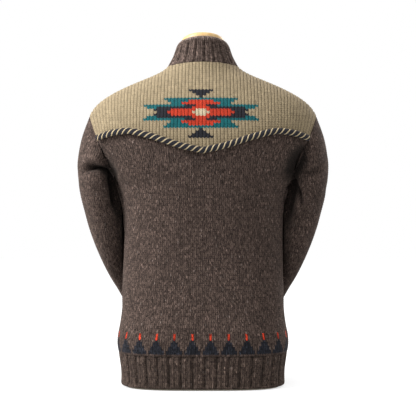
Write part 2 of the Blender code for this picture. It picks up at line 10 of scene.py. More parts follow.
import bpy
import numpy as np
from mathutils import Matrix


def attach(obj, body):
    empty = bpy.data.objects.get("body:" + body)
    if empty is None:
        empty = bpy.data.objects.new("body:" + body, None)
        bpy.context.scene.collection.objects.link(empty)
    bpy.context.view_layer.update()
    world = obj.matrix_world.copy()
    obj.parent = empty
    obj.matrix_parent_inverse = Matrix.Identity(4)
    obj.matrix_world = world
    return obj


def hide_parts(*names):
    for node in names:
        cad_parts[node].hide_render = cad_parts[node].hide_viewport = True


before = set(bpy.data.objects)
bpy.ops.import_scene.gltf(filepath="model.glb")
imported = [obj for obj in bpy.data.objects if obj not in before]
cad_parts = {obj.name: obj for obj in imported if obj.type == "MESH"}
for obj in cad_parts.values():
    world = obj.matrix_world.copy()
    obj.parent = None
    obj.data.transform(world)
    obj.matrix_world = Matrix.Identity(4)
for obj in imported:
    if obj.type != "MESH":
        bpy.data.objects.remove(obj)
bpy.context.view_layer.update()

MM = 0.001
BACK, FRONT = 1, -1
LEFT, RIGHT = 1, -1
print("solids:", ", ".join(sorted(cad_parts)))

# %% [markdown]
# ## The figure under the cloth
# The cut of the body is a stack of rounded sections. Each one is a superellipse: |x/w|^n + |y/d|^n = 1, which
# is an ellipse where n is 2 and squarer where n is more. Short tables give w, d and n by height, and a smooth
# curve runs through each column. A subdivision cage could make the same form, but the tables keep the cloth
# exactly on its solids and give every stitch a known place.

# %% Sizes and tables of the figure, in millimetres
UNDERARM_X, UNDERARM_Z = 180.0, 419.0
TIP_X, TIP_Z = 241.0, 566.0
ARMHOLE_REACH = {BACK: 70.0, FRONT: 62.0}
NECK_HALF, NECK_SIDE_Z = 75.0, 672.0
NECK_Z = {BACK: 677.0, FRONT: 630.0}
HEM_TOP, HEM_LIFT = 70.0, 3.0

BODY = (
    # height, half width
    (0, 172.5), (30, 174.0), (52, 178.0), (72, 181.5), (86, 182.0), (104, 180.0), (130, 175.5),
    (165, 172.5), (200, 171.0), (257, 169.5), (334, 169.5), (375, 171.0), (400, 174.3),
    (UNDERARM_Z, UNDERARM_X),
)
SHOULDER = (
    # height, half width
    (TIP_Z, TIP_X), (577, 235.0), (589, 225.5), (602, 210.0), (615, 189.0), (628, 163.0), (640, 135.5),
    (653, 104.5), (664, 84.0), (NECK_SIDE_Z, NECK_HALF), (682, 68.0), (700, 62.0),
)
DEPTH = (
    # height, back, front, roundness
    (0, 123, 115, 3.2), (78, 126, 119, 3.1), (165, 118, 112, 2.8), (257, 112, 108, 2.5),
    (334, 114, 112, 2.4), (419, 122, 122, 2.5), (470, 128, 124, 2.5), (515, 129, 118, 2.5),
    (560, 120, 106, 2.4), (590, 107, 94, 2.3), (620, 90, 78, 2.2), (640, 77, 67, 2.1),
    (660, 65, 60, 2.0), (677, 58, 56, 2.0), (700, 54, 53, 2.0),
)
YOKE_LINE = {
    # distance from the middle, height
    BACK: ((0, 489.0), (38, 497.0), (110, 519.0), (150, 528.0), (185, 525.0), (224, 514.0)),
    FRONT: ((0, 505.0), (38, 511.0), (110, 526.0), (150, 532.0), (185, 529.0), (224, 520.0)),
}


def smooth(value, table, column=1):
    """A curve through one column of a table: between two rows it is the cubic whose slope at each row is the
    slope between that row's neighbours."""
    places = np.array([row[0] for row in table], float)
    amounts = np.array([row[column] for row in table], float)
    slopes = np.gradient(amounts, places)
    value = np.clip(value, places[0], places[-1])
    i = np.clip(np.searchsorted(places, value) - 1, 0, len(places) - 2)
    span = places[i + 1] - places[i]
    t = (value - places[i]) / span
    start = (1 + 2 * t) * (1 - t) ** 2 * amounts[i] + t * (1 - t) ** 2 * span * slopes[i]
    return start + t * t * (3 - 2 * t) * amounts[i + 1] + t * t * (t - 1) * span * slopes[i + 1]


def armhole_x(z):
    """The slanted armhole plane: x grows evenly from the underarm to the shoulder tip."""
    return UNDERARM_X + (z - UNDERARM_Z) * (TIP_X - UNDERARM_X) / (TIP_Z - UNDERARM_Z)


def armhole_y(side, z):
    """The armhole's edge in that plane: half an ellipse in z and y."""
    middle, half = (TIP_Z + UNDERARM_Z) / 2, (TIP_Z - UNDERARM_Z) / 2
    return ARMHOLE_REACH[side] * np.sqrt(np.clip(1 - ((z - middle) / half) ** 2, 0, 1))


def depth(side, z):
    """Greatest depth by height, behind or before the middle."""
    return smooth(z, DEPTH, 1 if side == BACK else 2)


def half_width(side, z):
    """Half width by height. Beside the armhole it is the width that makes the section pass through the
    armhole's edge."""
    z = np.asarray(z, float)
    n = smooth(z, DEPTH, 3)
    share = np.clip(armhole_y(side, z) / depth(side, z), 0, 0.95)
    beside = armhole_x(z) / (1 - share**n) ** (1 / n)
    return np.where(z <= UNDERARM_Z, smooth(z, BODY), np.where(z >= TIP_Z, smooth(z, SHOULDER), beside))


def figure_y(side, x, z):
    """The figure's surface at (x, z): y = d (1 - |x/w|^n)^(1/n)."""
    n = smooth(z, DEPTH, 3)
    left = np.clip(1 - (np.abs(x) / half_width(side, z)) ** n, 0, 1)
    return side * depth(side, z) * left ** (1 / n)


def xyz(x, y, z):
    """Points from their three parts, which fill one another out to one grid."""
    return np.stack(np.broadcast_arrays(x, y, z), axis=-1)


def on_figure(side, x, z):
    """Points of the figure's surface."""
    return xyz(x, figure_y(side, x, z), z)


def section(turn, z):
    """The figure's section all round: x = w cos^(2/n), y = d sin^(2/n) of the turn, signs kept."""
    n = smooth(z, DEPTH, 3)
    back = np.sin(turn) >= 0
    w = np.where(back, half_width(BACK, z), half_width(FRONT, z))
    d = np.where(back, depth(BACK, z), depth(FRONT, z))
    x = w * np.sign(np.cos(turn)) * np.abs(np.cos(turn)) ** (2 / n)
    y = d * np.sign(np.sin(turn)) * np.abs(np.sin(turn)) ** (2 / n)
    return xyz(x, y, z)


print("half width at the hem's seam:", float(half_width(BACK, HEM_TOP)), "mm")

# %% [markdown]
# ## Lines of stitches
# Knitted cloth is made of lines of stitches that run up the piece, the wales, crossed by rows, the courses.
# So each piece starts as a smooth grid of points whose columns are such lines, and every point knows its
# course. A line that is cut short, as at a shoulder, simply ends at an earlier course. These helpers space a
# row evenly, space a column evenly by course, find which way is outwards, and press soft creases in.

# %% Helpers for grids of points
LEVEL = np.array([1, 1, 0])


def full_turn(count):
    """Angles all round a circle, with the first one again at the end."""
    return np.linspace(0, 2 * math.pi, count)


def lengths(points, axis):
    """Length run along one axis of a grid, from 0 at its first point."""
    step = np.linalg.norm(np.diff(points, axis=axis), axis=-1)
    start = np.zeros_like(np.take(step, [0], axis=axis))
    return np.concatenate([start, np.cumsum(step, axis=axis)], axis=axis)


def respaced(points, run, count):
    """Each row's points moved to count equal steps of its own run. The rows are laid end to end, a long way
    apart, so that one interpolation serves them all."""
    apart = np.arange(len(points))[:, None] * 1e5
    share = np.linspace(0, 1, count)
    want = (run[:, :1] + (run[:, -1:] - run[:, :1]) * share + apart).ravel()
    known = (run + apart).ravel()
    moved = [np.interp(want, known, points[..., k].ravel()) for k in range(points.shape[-1])]
    return np.stack(moved, axis=-1).reshape(len(points), count, -1)


def unit(v):
    """Directions of length 1."""
    return v / np.maximum(np.linalg.norm(v, axis=-1, keepdims=True), 1e-9)


def slope_round(grid):
    """A closed grid's slope along its rows."""
    around = np.concatenate([grid[:, -2:-1], grid, grid[:, 1:2]], axis=1)
    return (around[:, 2:] - around[:, :-2]) / 2


def outward(grid, wraps):
    """Directions square to a grid: the cross product of its two slopes."""
    across = slope_round(grid) if wraps else np.gradient(grid, axis=1)
    return unit(np.cross(across, np.gradient(grid, axis=0)))


def facing(v, towards):
    """Directions turned round where they point away from another direction."""
    return v * np.sign((v * towards).sum(axis=-1, keepdims=True) + 1e-9)


def cells(grid):
    """Each cell of a grid as a vector square to it with its area: half the cross product of its diagonals."""
    return np.cross(grid[1:, 1:] - grid[:-1, :-1], grid[1:, :-1] - grid[:-1, 1:]) / 2


def level_away(rows):
    """Level directions square to level rows, away from the upright axis."""
    away = unit(np.cross(np.gradient(rows, axis=1), np.array([0, 0, 1.0])) * LEVEL)
    if np.allclose(rows[:, 0], rows[:, -1]):
        ends = unit(away[:, :1] + away[:, -1:])
        away = np.concatenate([ends, away[:, 1:-1], ends], axis=1)
    return facing(away, rows * LEVEL)


def at(grid, row, column):
    """A grid's value between its points: the mean of the four around (row, column), by nearness."""
    row = np.clip(row, 0, grid.shape[0] - 1.00001)
    column = np.clip(column, 0, grid.shape[1] - 1.00001)
    i, j = row.astype(int), column.astype(int)
    a, b = (row - i)[..., None], (column - j)[..., None]
    low = grid[i, j] * (1 - b) + grid[i, j + 1] * b
    high = grid[i + 1, j] * (1 - b) + grid[i + 1, j + 1] * b
    return low * (1 - a) + high * a


class Cloth:
    """A smooth sheet in lines of stitches: points in rows by columns, with each column's first and last
    course. inside says which side of the sheet is the hidden one. fold is how far each point is pressed in,
    in millimetres, with the seam's dips counted stronger; it only drives the painted shade in folds."""

    ROWS = 260

    def __init__(self, points, course, inside, wraps=False, fold=None):
        fold = np.zeros(points.shape[:2]) if fold is None else fold
        both = np.concatenate([points, fold[..., None]], axis=-1)
        both = respaced(both.transpose(1, 0, 2), course.T, self.ROWS).transpose(1, 0, 2)
        self.points, self.fold = both[..., :3], both[..., 3:]
        self.first, self.last, self.wraps = course[0], course[-1], wraps
        self.normals = outward(self.points, wraps)
        if ((self.points - inside) * self.normals).sum() < 0:
            self.normals = -self.normals

    def span(self, share):
        """First and last course of the line at a share of the width."""
        place = np.clip(share, 0, 1) * (len(self.first) - 1)
        known = np.arange(len(self.first))
        return np.interp(place, known, self.first), np.interp(place, known, self.last)

    def read(self, share, course):
        """Point, outward direction and depth of fold at a share of the width and a course."""
        first, last = self.span(share)
        row = (course - first) / np.maximum(last - first, 1e-6) * (self.ROWS - 1)
        column = share * (self.points.shape[1] - 1)
        fold = at(self.fold, row, column)[..., 0]
        return at(self.points, row, column), unit(at(self.normals, row, column)), fold

    def flat(self):
        """Width, length and area of the cut in metres: its longest course, its longest line and its cells."""
        share = np.linspace(0, 1, self.points.shape[1])
        first, last = self.span(share)
        courses = np.linspace(self.first.min(), self.last.max(), 80)[:, None]
        across = self.read(share + 0 * courses, np.clip(courses, first, last))[0]
        alive = (courses >= first) & (courses <= last)
        step = np.linalg.norm(np.diff(across, axis=1), axis=-1) * (alive[:, 1:] & alive[:, :-1])
        width = step.sum(axis=1).max()
        area = np.linalg.norm(cells(self.points), axis=-1).sum()
        return width * MM, lengths(self.points, 0).max() * MM, area * MM * MM


def press(cloth, dents):
    """The same open cloth with soft creases. Each is an oval bell: depth times exp(-(1.5 a^2 + b^2)), where
    a is the way along the crease and b the way across it, in shares of its half length and half width. They
    fade out over a twenty-fifth of each line at both ends, so that the seams stay where the next piece is."""
    rows, columns = cloth.points.shape[:2]
    share = np.linspace(0, 1, columns)[None]
    height = np.linspace(0, 1, rows)[:, None]
    moved = np.zeros((rows, columns))
    for where, up, half_long, half_wide, lean, deep in dents:
        side_way = share - where
        up_way = height - up - lean * side_way / half_long * half_wide
        moved += deep * np.exp(-1.5 * (side_way / half_long) ** 2 - (up_way / half_wide) ** 2)
    moved *= np.clip(25 * np.minimum(height, 1 - height), 0, 1)
    cloth.points = cloth.points - cloth.normals * moved[..., None]
    # The depth is kept as well, for the painted shade in the folds.
    cloth.fold = cloth.fold + moved[..., None]
    cloth.normals = facing(outward(cloth.points, cloth.wraps), cloth.normals)
    return cloth


# %% [markdown]
# ## The knitted stitch
# Stocking stitch shows columns of V shapes. Each V is two legs of one yarn that lean out from the middle of
# the wale. The lattice below copies that: its rows zigzag so that they follow the legs, and it is raised on a
# leg's crest and sunk between wales and between one leg and the next. A weave made only in the shader would
# look flat at the edge of the garment, so the stitches are real relief. The shader adds the fibres and a
# painted shade: each point carries a value that darkens the wool between legs, in rib furrows, at turned-in
# edges and in the depth of folds, and lightens the crests a little.
# Where a line of stitches ends, the cloth turns in a little, as it does at a sewn seam.

# %% Mesh, welding and stitches
# columns to a wale and rows to a course, relief in millimetres, lean in courses
FINE_STITCH, BULKY_STITCH = ((4, 2), 1.1, 0.55), ((6, 3), 2.0, 0.6)
EDGE_TURN, RIB_DEPTH = 1.6, 3.2
LEG_ROUND, WALE_FILL, STRAND_MEAN, STRAND_WAVE, SHEET_LEVEL = 0.7, 0.75, 0.72, 0.28, 0.6
# After the cast-off height come weights of painted shade: darker turned-in edges, rib furrows and folds.
CAST_OFF_HEIGHT, EDGE_SHADE, RIB_FURROW_SHADE = 0.15, 0.3, 0.7
FOLD_SHADE, FOLD_RANGE = 0.075, (-4, 26)


def mesh_of(name, points, faces, uv, colours, hollow_shade):
    """A mesh from a grid's points and quads. Points in the same place are welded, quads that close up become
    triangles or are dropped, and each face keeps its own yarn colour."""
    _, first, back_to = np.unique(np.round(points, 3), axis=0, return_index=True, return_inverse=True)
    welded = back_to.reshape(-1)[faces]
    same = welded == np.roll(welded, -1, axis=1)
    crossed = (welded[:, 0] == welded[:, 2]) | (welded[:, 1] == welded[:, 3])
    whole = ~same.any(axis=1) & ~crossed
    thin = (same.sum(axis=1) == 1) & ~crossed
    order = (np.argmax(same[thin], axis=1)[:, None] + np.array([1, 2, 3])) % 4
    tri = np.take_along_axis(welded[thin], order, axis=1)
    used, corners = np.unique(np.concatenate([welded[whole].ravel(), tri.ravel()]), return_inverse=True)
    sizes = np.concatenate([np.full(whole.sum(), 4), np.full(thin.sum(), 3)])
    mesh = bpy.data.meshes.new(name)
    mesh.vertices.add(len(used))
    mesh.vertices.foreach_set("co", (points[first[used]] * MM).astype(np.float32).ravel())
    mesh.loops.add(len(corners))
    mesh.loops.foreach_set("vertex_index", corners.reshape(-1).astype(np.int32))
    mesh.polygons.add(len(sizes))
    mesh.polygons.foreach_set("loop_start", (np.cumsum(sizes) - sizes).astype(np.int32))
    mesh.polygons.foreach_set("use_smooth", np.ones(len(sizes), bool))
    mesh.update(calc_edges=True)
    by_corner = uv[faces]
    thin_uv = np.take_along_axis(by_corner[thin], order[..., None], axis=1)
    flat = np.concatenate([by_corner[whole].reshape(-1, 2), thin_uv.reshape(-1, 2)])
    mesh.uv_layers.new(name="stitches").data.foreach_set("uv", flat.astype(np.float32).ravel())
    both = np.concatenate([np.repeat(colours[whole], 4, axis=0), np.repeat(colours[thin], 3, axis=0)])
    rgba = np.concatenate([both, np.ones((len(both), 1))], axis=1)
    layer = mesh.color_attributes.new("yarn", "FLOAT_COLOR", "CORNER")
    layer.data.foreach_set("color", rgba.astype(np.float32).ravel())
    # Each point's painted shade: how far its wool colour is darkened between legs, in furrows, at edges and
    # in folds.
    layer = mesh.attributes.new("hollow_shade", "FLOAT", "POINT")
    layer.data.foreach_set("value", hollow_shade[first[used]].astype(np.float32))
    mesh.validate()
    return mesh


def grid_quads(rows, columns):
    """Corner numbers of a grid's quads, row by row."""
    a = (np.arange(rows - 1)[:, None] * columns + np.arange(columns - 1)).ravel()
    return np.stack([a, a + 1, a + columns + 1, a + columns], axis=-1)


def facing_quads(grid, away):
    """A grid's quads, all turned over if most of them would face inwards."""
    quads = grid_quads(*grid.shape[:2])
    return quads[:, ::-1] if (cells(grid) * away[:-1, :-1]).sum() < 0 else quads


def in_scene(name, data):
    """A new object in the scene that carries a mesh, a lamp or a camera."""
    made = bpy.data.objects.new(name, data)
    bpy.context.scene.collection.objects.link(made)
    return made


def place(name, mesh, slot_name, material, *stands_for):
    """A finished piece: in the scene, riding on the one body, in place of its solids."""
    made = in_scene(name, mesh)
    mesh.materials.append(material)
    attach(made, "root")
    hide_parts(*stands_for)
    print(f"{name}: {len(mesh.loops) - 2 * len(mesh.polygons)} triangles")
    return made


def knit(name, cloth, wales, stitch, colour_of, ribs=None):
    """Stitches on a smooth cloth. A lattice row zigzags by lean courses to each half wale. The yarn's height
    is leg times strand, where leg is sin^0.7 of the way across a half wale, filled in at the wale's middle,
    and strand is a cosine wave along the wale, one wave to a course. ribs gives the share, by wale and
    course, of a furrow of full depth."""
    (per_wale, per_course), relief, lean = stitch
    low, high = math.floor(cloth.first.min()), math.ceil(cloth.last.max())
    i = np.arange(0 if cloth.wraps else -1, wales * per_wale + (1 if cloth.wraps else 2))
    k = np.arange(low * per_course - 2, high * per_course + 3)
    u = np.clip(i / per_wale, 0, wales)
    off = np.abs(2 * ((i / per_wale) % 1) - 1)
    first, last = cloth.span(u / wales)
    raw = k[:, None] / per_course + lean * (off - 0.5)
    v = np.clip(raw, first, last)
    past = np.maximum(raw - last, first - raw) * per_course
    base, n, fold = cloth.read(np.broadcast_to(u / wales, v.shape), v)
    leg = np.clip(np.sin(np.pi * off) ** LEG_ROUND + WALE_FILL * (1 - off) ** 4, 0, 1)
    strand = STRAND_MEAN + STRAND_WAVE * np.cos(2 * np.pi * k / per_course)
    height = np.where(past > 0, CAST_OFF_HEIGHT, leg * strand[:, None])
    furrow = np.zeros(v.shape) if ribs is None else ribs(np.broadcast_to(u, v.shape), v)
    lift = relief * (height - SHEET_LEVEL) - RIB_DEPTH * furrow
    rim = past > 1
    if not cloth.wraps:
        rim = rim | ((i < 0) | (i > wales * per_wale))
    lift = np.where(rim, -EDGE_TURN, lift)
    points = base + n * lift[..., None]
    faces = facing_quads(points, n)
    r, c = np.divmod(np.arange(len(faces)), v.shape[1] - 1)
    leg = np.clip(i[c] // (per_wale // 2), 0, 2 * wales - 1)
    course = np.clip(k[r] // per_course, low, high - 1) - low
    uv = np.stack(np.broadcast_arrays(i / per_wale, k[:, None] / per_course), axis=-1)
    # Painted shade: darker where the yarn lies low, in rib furrows, on turned-in edges and in the depth of
    # folds.
    hollow_shade = np.where(rim, EDGE_SHADE, np.clip(1 - height + RIB_FURROW_SHADE * furrow, 0, 1))
    hollow_shade = hollow_shade + FOLD_SHADE * np.clip(fold, *FOLD_RANGE)
    return mesh_of(name, points.reshape(-1, 3), faces, uv.reshape(-1, 2), colour_of(leg, course),
                   hollow_shade.ravel())


def knitted_piece(name, cloth, wales, stitch, colour_of, slot_name, wool, stands_for, ribs=None):
    """A knitted piece in its place. The size that it was cut to is printed."""
    piece = place(name, knit(name, cloth, wales, stitch, colour_of, ribs), slot_name, wool, *stands_for)
    width, length, area = (round(float(a), 4) for a in cloth.flat())
    print(f"{name}: cut from {width:.3f} by {length:.3f} m, {area:.4f} square metres")


# %% [markdown]
# ## Yarn colours
# The brown wool is a ragg yarn: plies of several natural browns are twisted together, so each stitch comes
# out a little lighter or darker, and now and then a pale fibre shows. The tan wool is nearly even. A seeded
# random number picks each stitch's shade, so the garment is the same every time it is made. Painting each
# stitch on the mesh, and not with a noise in the shader, keeps a shade inside its own stitch.

# %% Yarn shades


def linear(r, g, b):
    """A display colour from 0 to 255 as the light that it stands for."""
    c = np.array([r, g, b], float) / 255
    return np.where(c <= 0.04045, c / 12.92, ((c + 0.055) / 1.055) ** 2.4)


YARN = {
    "brown": linear(79, 66, 60),
    "rib brown": linear(80, 67, 60),
    "collar brown": linear(98, 83, 76),
    "edge brown": linear(138, 121, 112),
    "tan": linear(159, 143, 115),
    "trim tan": linear(192, 174, 138),
    "teal": linear(20, 96, 101),
    "navy": linear(36, 38, 45),
    "red": linear(190, 58, 36),
    "cream": linear(196, 181, 151),
}
PALE_FIBRE = linear(170, 155, 147)
SHEEN_TINT = (0.75, 0.62, 0.54, 1.0)


def ragg(pick, seed, wales, courses, spread=0.38, pale=0.01):
    """A function from (leg, course) to the colour of that half stitch. pick names the yarn of a stitch,
    either always the same or by a function. The shade is exp(spread times a random number), shared in part
    by the whole stitch and by its neighbours, as one stretch of yarn makes them."""
    rng = np.random.default_rng(seed)
    legs = rng.normal(0, 1, (courses, 2 * wales))
    stitch = rng.normal(0, 1, (courses, wales)).repeat(2, axis=1)
    stretch = rng.normal(0, 1, (courses, wales // 3 + 1)).repeat(6, axis=1)[:, :2 * wales]
    tone = np.exp(spread * (0.95 * legs + 0.2 * stitch + 0.15 * stretch))[..., None]
    flecks = np.where(rng.random(legs.shape) < pale, rng.uniform(0.1, 0.35, legs.shape), 0.0)[..., None]
    leg, row = np.meshgrid(np.arange(2 * wales), np.arange(courses))
    names = list(YARN)
    known = np.array([YARN[name] for name in names])
    chosen = np.full(leg.shape, names.index(pick)) if isinstance(pick, str) else pick(leg // 2, row, names)
    colours = np.clip((known[chosen] * tone) * (1 - flecks) + PALE_FIBRE * flecks, 0, 1)
    return lambda leg, course: colours[np.clip(course, 0, courses - 1), leg]


# %% [markdown]
# ## Wool in the shader
# One node group does the same job in every yarn: it draws the fibres. It reads the stitch map, where one unit
# is one stitch, so its spots stay a little smaller than a stitch and lie in the rows. It puts out a shade and
# a height. Each material keeps its own Principled shader, with some sheen, because loose fibres at the
# surface catch the light at a glancing angle.

# %% Fibre group and yarn materials
SPOTS_TO_STITCH, FUZZ_SCALE, SHADE_FLOOR = (2.7, 2.5, 1.0), 700.0, 0.25
# Painted light and shade on the wool: crests drawn a touch lighter, and the darkest that a deep fold may get.
CREST_LIGHT, DEEPEST_LIGHT = 1.06, 0.12


def add_node(tree, kind, inputs=(), **settings):
    """A node with its settings, and with its inputs set to numbers or linked from other nodes' outputs."""
    made = tree.nodes.new("ShaderNode" + kind)
    for key, value in settings.items():
        setattr(made, key, value)
    for key, value in dict(inputs).items():
        if isinstance(value, bpy.types.NodeSocket):
            tree.links.new(value, made.inputs[key])
        else:
            made.inputs[key].default_value = value
    return made


def group_of(name, inputs, outputs):
    """An empty node group with named number sockets, and its two ends."""
    tree = bpy.data.node_groups.new(name, "ShaderNodeTree")
    for key, value in inputs.items():
        tree.interface.new_socket(key, in_out="INPUT", socket_type="NodeSocketFloat").default_value = value
    for key in outputs:
        tree.interface.new_socket(key, in_out="OUTPUT", socket_type="NodeSocketFloat")
    return tree, tree.nodes.new("NodeGroupInput"), tree.nodes.new("NodeGroupOutput")


def fibre_group():
    """Shade is 1 + contrast times (noise - 1/2), with a floor, and height is the noise: plies that follow the
    stitch map, mixed with a fine fuzz in the cloth's own place."""
    tree, given, out = group_of("wool fibres", {"Contrast": 0.3, "Fuzz": 0.4}, ("Shade", "Height"))
    stitches = add_node(tree, "UVMap", uv_map="stitches")
    stretch = add_node(tree, "Mapping", {"Vector": stitches.outputs["UV"], "Scale": SPOTS_TO_STITCH})
    plies = add_node(tree, "TexNoise", {"Vector": stretch.outputs["Vector"], "Scale": 1.0, "Detail": 3.0,
                                        "Roughness": 0.55, "Distortion": 0.5})
    spot = add_node(tree, "TexCoord")
    fuzz = add_node(tree, "TexNoise", {"Vector": spot.outputs["Object"], "Scale": FUZZ_SCALE, "Detail": 2.0})
    mixed = add_node(tree, "Mix", {"Factor": given.outputs["Fuzz"], "A": plies.outputs["Fac"],
                                   "B": fuzz.outputs["Fac"]}, data_type="FLOAT")
    centred = add_node(tree, "Math", {0: mixed.outputs["Result"], 1: 0.5}, operation="SUBTRACT")
    shade = add_node(tree, "Math", {0: centred.outputs[0], 1: given.outputs["Contrast"], 2: 1.0},
                     operation="MULTIPLY_ADD")
    kept = add_node(tree, "Math", {0: shade.outputs[0], 1: SHADE_FLOOR}, operation="MAXIMUM")
    tree.links.new(kept.outputs[0], out.inputs["Shade"])
    tree.links.new(mixed.outputs["Result"], out.inputs["Height"])
    return tree


FIBRES = fibre_group()


def new_material(name):
    """A material with its node tree and its Principled shader."""
    material = bpy.data.materials.new(name)
    material.use_nodes = True
    return material, material.node_tree, material.node_tree.nodes["Principled BSDF"]


def yarn_material(name, contrast, painted_hollow_dark, sheen, bump):
    """Wool of one finish. Its colour is the stitch's own yarn, times a painted shade that darkens it between
    legs and in the depth of folds and lightens the crests a little, times the fibres' shade."""
    material, tree, shader = new_material(name)
    for key, value in (("Roughness", 0.92), ("Specular IOR Level", 0.15), ("Sheen Weight", sheen),
                       ("Sheen Roughness", 0.55), ("Sheen Tint", SHEEN_TINT)):
        shader.inputs[key].default_value = value
    yarn = add_node(tree, "Attribute", attribute_name="yarn")
    hollow_shade = add_node(tree, "Attribute", attribute_name="hollow_shade")
    fibres = add_node(tree, "Group", node_tree=FIBRES)
    fibres.inputs["Contrast"].default_value = contrast
    # Painted shade from each point's value: crests a little lighter, low yarn and folds darker.
    dark = add_node(tree, "MapRange", {"Value": hollow_shade.outputs["Fac"], "To Min": CREST_LIGHT,
                                       "To Max": painted_hollow_dark}, clamp=False)
    dark = add_node(tree, "Math", {0: dark.outputs["Result"], 1: DEEPEST_LIGHT}, operation="MAXIMUM")
    both = add_node(tree, "Math", {0: dark.outputs[0], 1: fibres.outputs["Shade"]}, operation="MULTIPLY")
    tint = add_node(tree, "VectorMath", {0: yarn.outputs["Color"], "Scale": both.outputs[0]},
                    operation="SCALE")
    raised = add_node(tree, "Bump", {"Height": fibres.outputs["Height"], "Strength": 0.6, "Distance": bump})
    tree.links.new(tint.outputs["Vector"], shader.inputs["Base Color"])
    tree.links.new(raised.outputs["Normal"], shader.inputs["Normal"])
    return material


BODY_WOOL = yarn_material("ragg body wool", 6.0, 0.5, 0.08, 0.0006)
RIB_WOOL = yarn_material("ragg rib wool", 6.0, 0.35, 0.08, 0.0006)
YOKE_WOOL = yarn_material("bulky yoke wool", 0.5, 0.42, 0.15, 0.0009)
TRIM_WOOL = yarn_material("twisted trim yarn", 0.6, 0.6, 0.2, 0.0006)

# %% [markdown]
# ## Back and front of the body
# Each panel runs from the hem's seam up to the yoke. Its courses are level and its edge is cut along the
# yoke's seam, so a line of stitches under the point ends sooner than one beside it. Little trees stand on
# the lowest courses, eight wales apart, fourteen to a panel.

# %% Body panels
BODY_WALES, BODY_COURSE = 112, 4.2
HEM_DRAW, HEM_DRAW_RUN = 3.8, 38.0
# The last number weighs a seam's dip in the painted shade of folds.
SEAM_GAP, CORNER_GUESS, DIP_SHADE_WEIGHT = 0.25, 515.0, 1.5
TREE_REPEAT, TREE_FOOT, FLAME_FOOT, FLAME_TOP = 8, 1, 8, 11
TREE_HALF = (3, 3, 2, 2, 1, 1, 0)
SEAM_DIPS = {
    # height, half height, depth behind, reach on the panel as a share of its half width
    LEFT: (446.0, 24.0, 14.0, 0.11), RIGHT: (466.0, 28.0, 22.0, 0.16),
}


def seam_dip(x, z):
    """How far the armhole's seam is drawn in behind, at a height: depth times exp(-((z - height)/half)^2)."""
    left, right = (deep * np.exp(-((z - height) / half) ** 2) for height, half, deep, _ in
                   (SEAM_DIPS[LEFT], SEAM_DIPS[RIGHT]))
    return np.where(x > 0, left, right)


def panel_cloth(side):
    """Level rows of the figure, each in even steps: x = w sin^(2/n)(t), y = d cos^(2/n)(t), where t ends at
    the armhole or at a right angle. Where a row gets shorter at the underarm its outer lines stop, as
    cast-off stitches do, and the rest share what is left. All the other lines are cut at the yoke's seam.
    Behind, the seam's dip is taken off y beside the armhole, times exp(-(way from the edge/reach)^4)."""
    low, high, rows, columns = HEM_TOP + SEAM_GAP, 550.0, 480, 209
    z = np.linspace(low, high, rows)[:, None]
    n, w = smooth(z, DEPTH, 3), half_width(side, z)
    edge = np.where(z <= UNDERARM_Z, 1.0, np.clip(armhole_x(z) / w, 0, 1))
    turn = np.linspace(-1, 1, 801) * np.arcsin(edge ** (n / 2))
    x = w * np.sign(turn) * np.abs(np.sin(turn)) ** (2 / n)
    level = xyz(x, side * depth(side, z) * np.abs(np.cos(turn)) ** (2 / n), z)
    run = lengths(level, 1)
    whole = run[:, -1] / np.interp(UNDERARM_Z, z[:, 0], run[:, -1])
    alive = np.minimum.accumulate(np.where(z[:, 0] <= UNDERARM_Z, 1.0, np.minimum(whole, 1.0)))
    steps = 2000
    share = np.linspace(-1, 1, columns)
    place = (np.clip(share / alive[:, None], -1, 1) + 1) * steps / 2
    level = at(respaced(level, run, steps + 1), np.arange(rows, dtype=float)[:, None] + 0 * place, place)
    column = np.arange(columns, dtype=float)
    top = np.full(columns, CORNER_GUESS)
    for _ in range(12):
        here = at(level, (top - low) / (high - low) * (rows - 1), column)
        top = smooth(np.abs(here[:, 0]), YOKE_LINE[side]) - SEAM_GAP
    stopped = np.interp(-np.abs(share), -alive[z[:, 0] >= UNDERARM_Z], z[z[:, 0] >= UNDERARM_Z, 0])
    top = np.where(np.abs(share) > alive.min(), stopped, top)
    rise = np.linspace(0, 1, 320)[:, None]
    row = (top - low) * rise / (high - low) * (rows - 1)
    points = at(level, row, column + 0 * rise)
    from_edge = 1 - np.minimum(np.abs(share) / np.interp(row, np.arange(rows), alive), 1)
    reach = np.where(points[..., 0] > 0, SEAM_DIPS[LEFT][3], SEAM_DIPS[RIGHT][3])
    dip = seam_dip(points[..., 0], points[..., 2]) * np.exp(-(from_edge / reach) ** 4) * (side == BACK)
    points[..., 1] -= dip
    drawn = HEM_DRAW * np.clip(1 - (points[..., 2:] - HEM_TOP) / HEM_DRAW_RUN, 0, 1) ** 1.6
    points = points - level_away(points) * drawn
    # The dip, weighed, is kept as fold depth, which only paints shade into the wool.
    return Cloth(points, lengths(points, 0) / BODY_COURSE, np.array([0, 0, 300.0]), fold=DIP_SHADE_WEIGHT * dip)


def trees(first_wale):
    """Chart of the hem band: steps of navy that narrow upwards, with a red flame on each tip."""

    def pick(wale, course, names):
        away = np.abs((wale - first_wale + TREE_REPEAT // 2) % TREE_REPEAT - TREE_REPEAT // 2)
        row = np.clip(course - TREE_FOOT, 0, len(TREE_HALF) - 1)
        tree = (course >= TREE_FOOT) & (course < FLAME_FOOT) & (away <= np.array(TREE_HALF)[row])
        flame = (course >= FLAME_FOOT) & (course < FLAME_TOP) & (away == 0)
        chosen = np.where(tree, names.index("navy"), names.index("brown"))
        return np.where(flame, names.index("red"), chosen)

    return pick


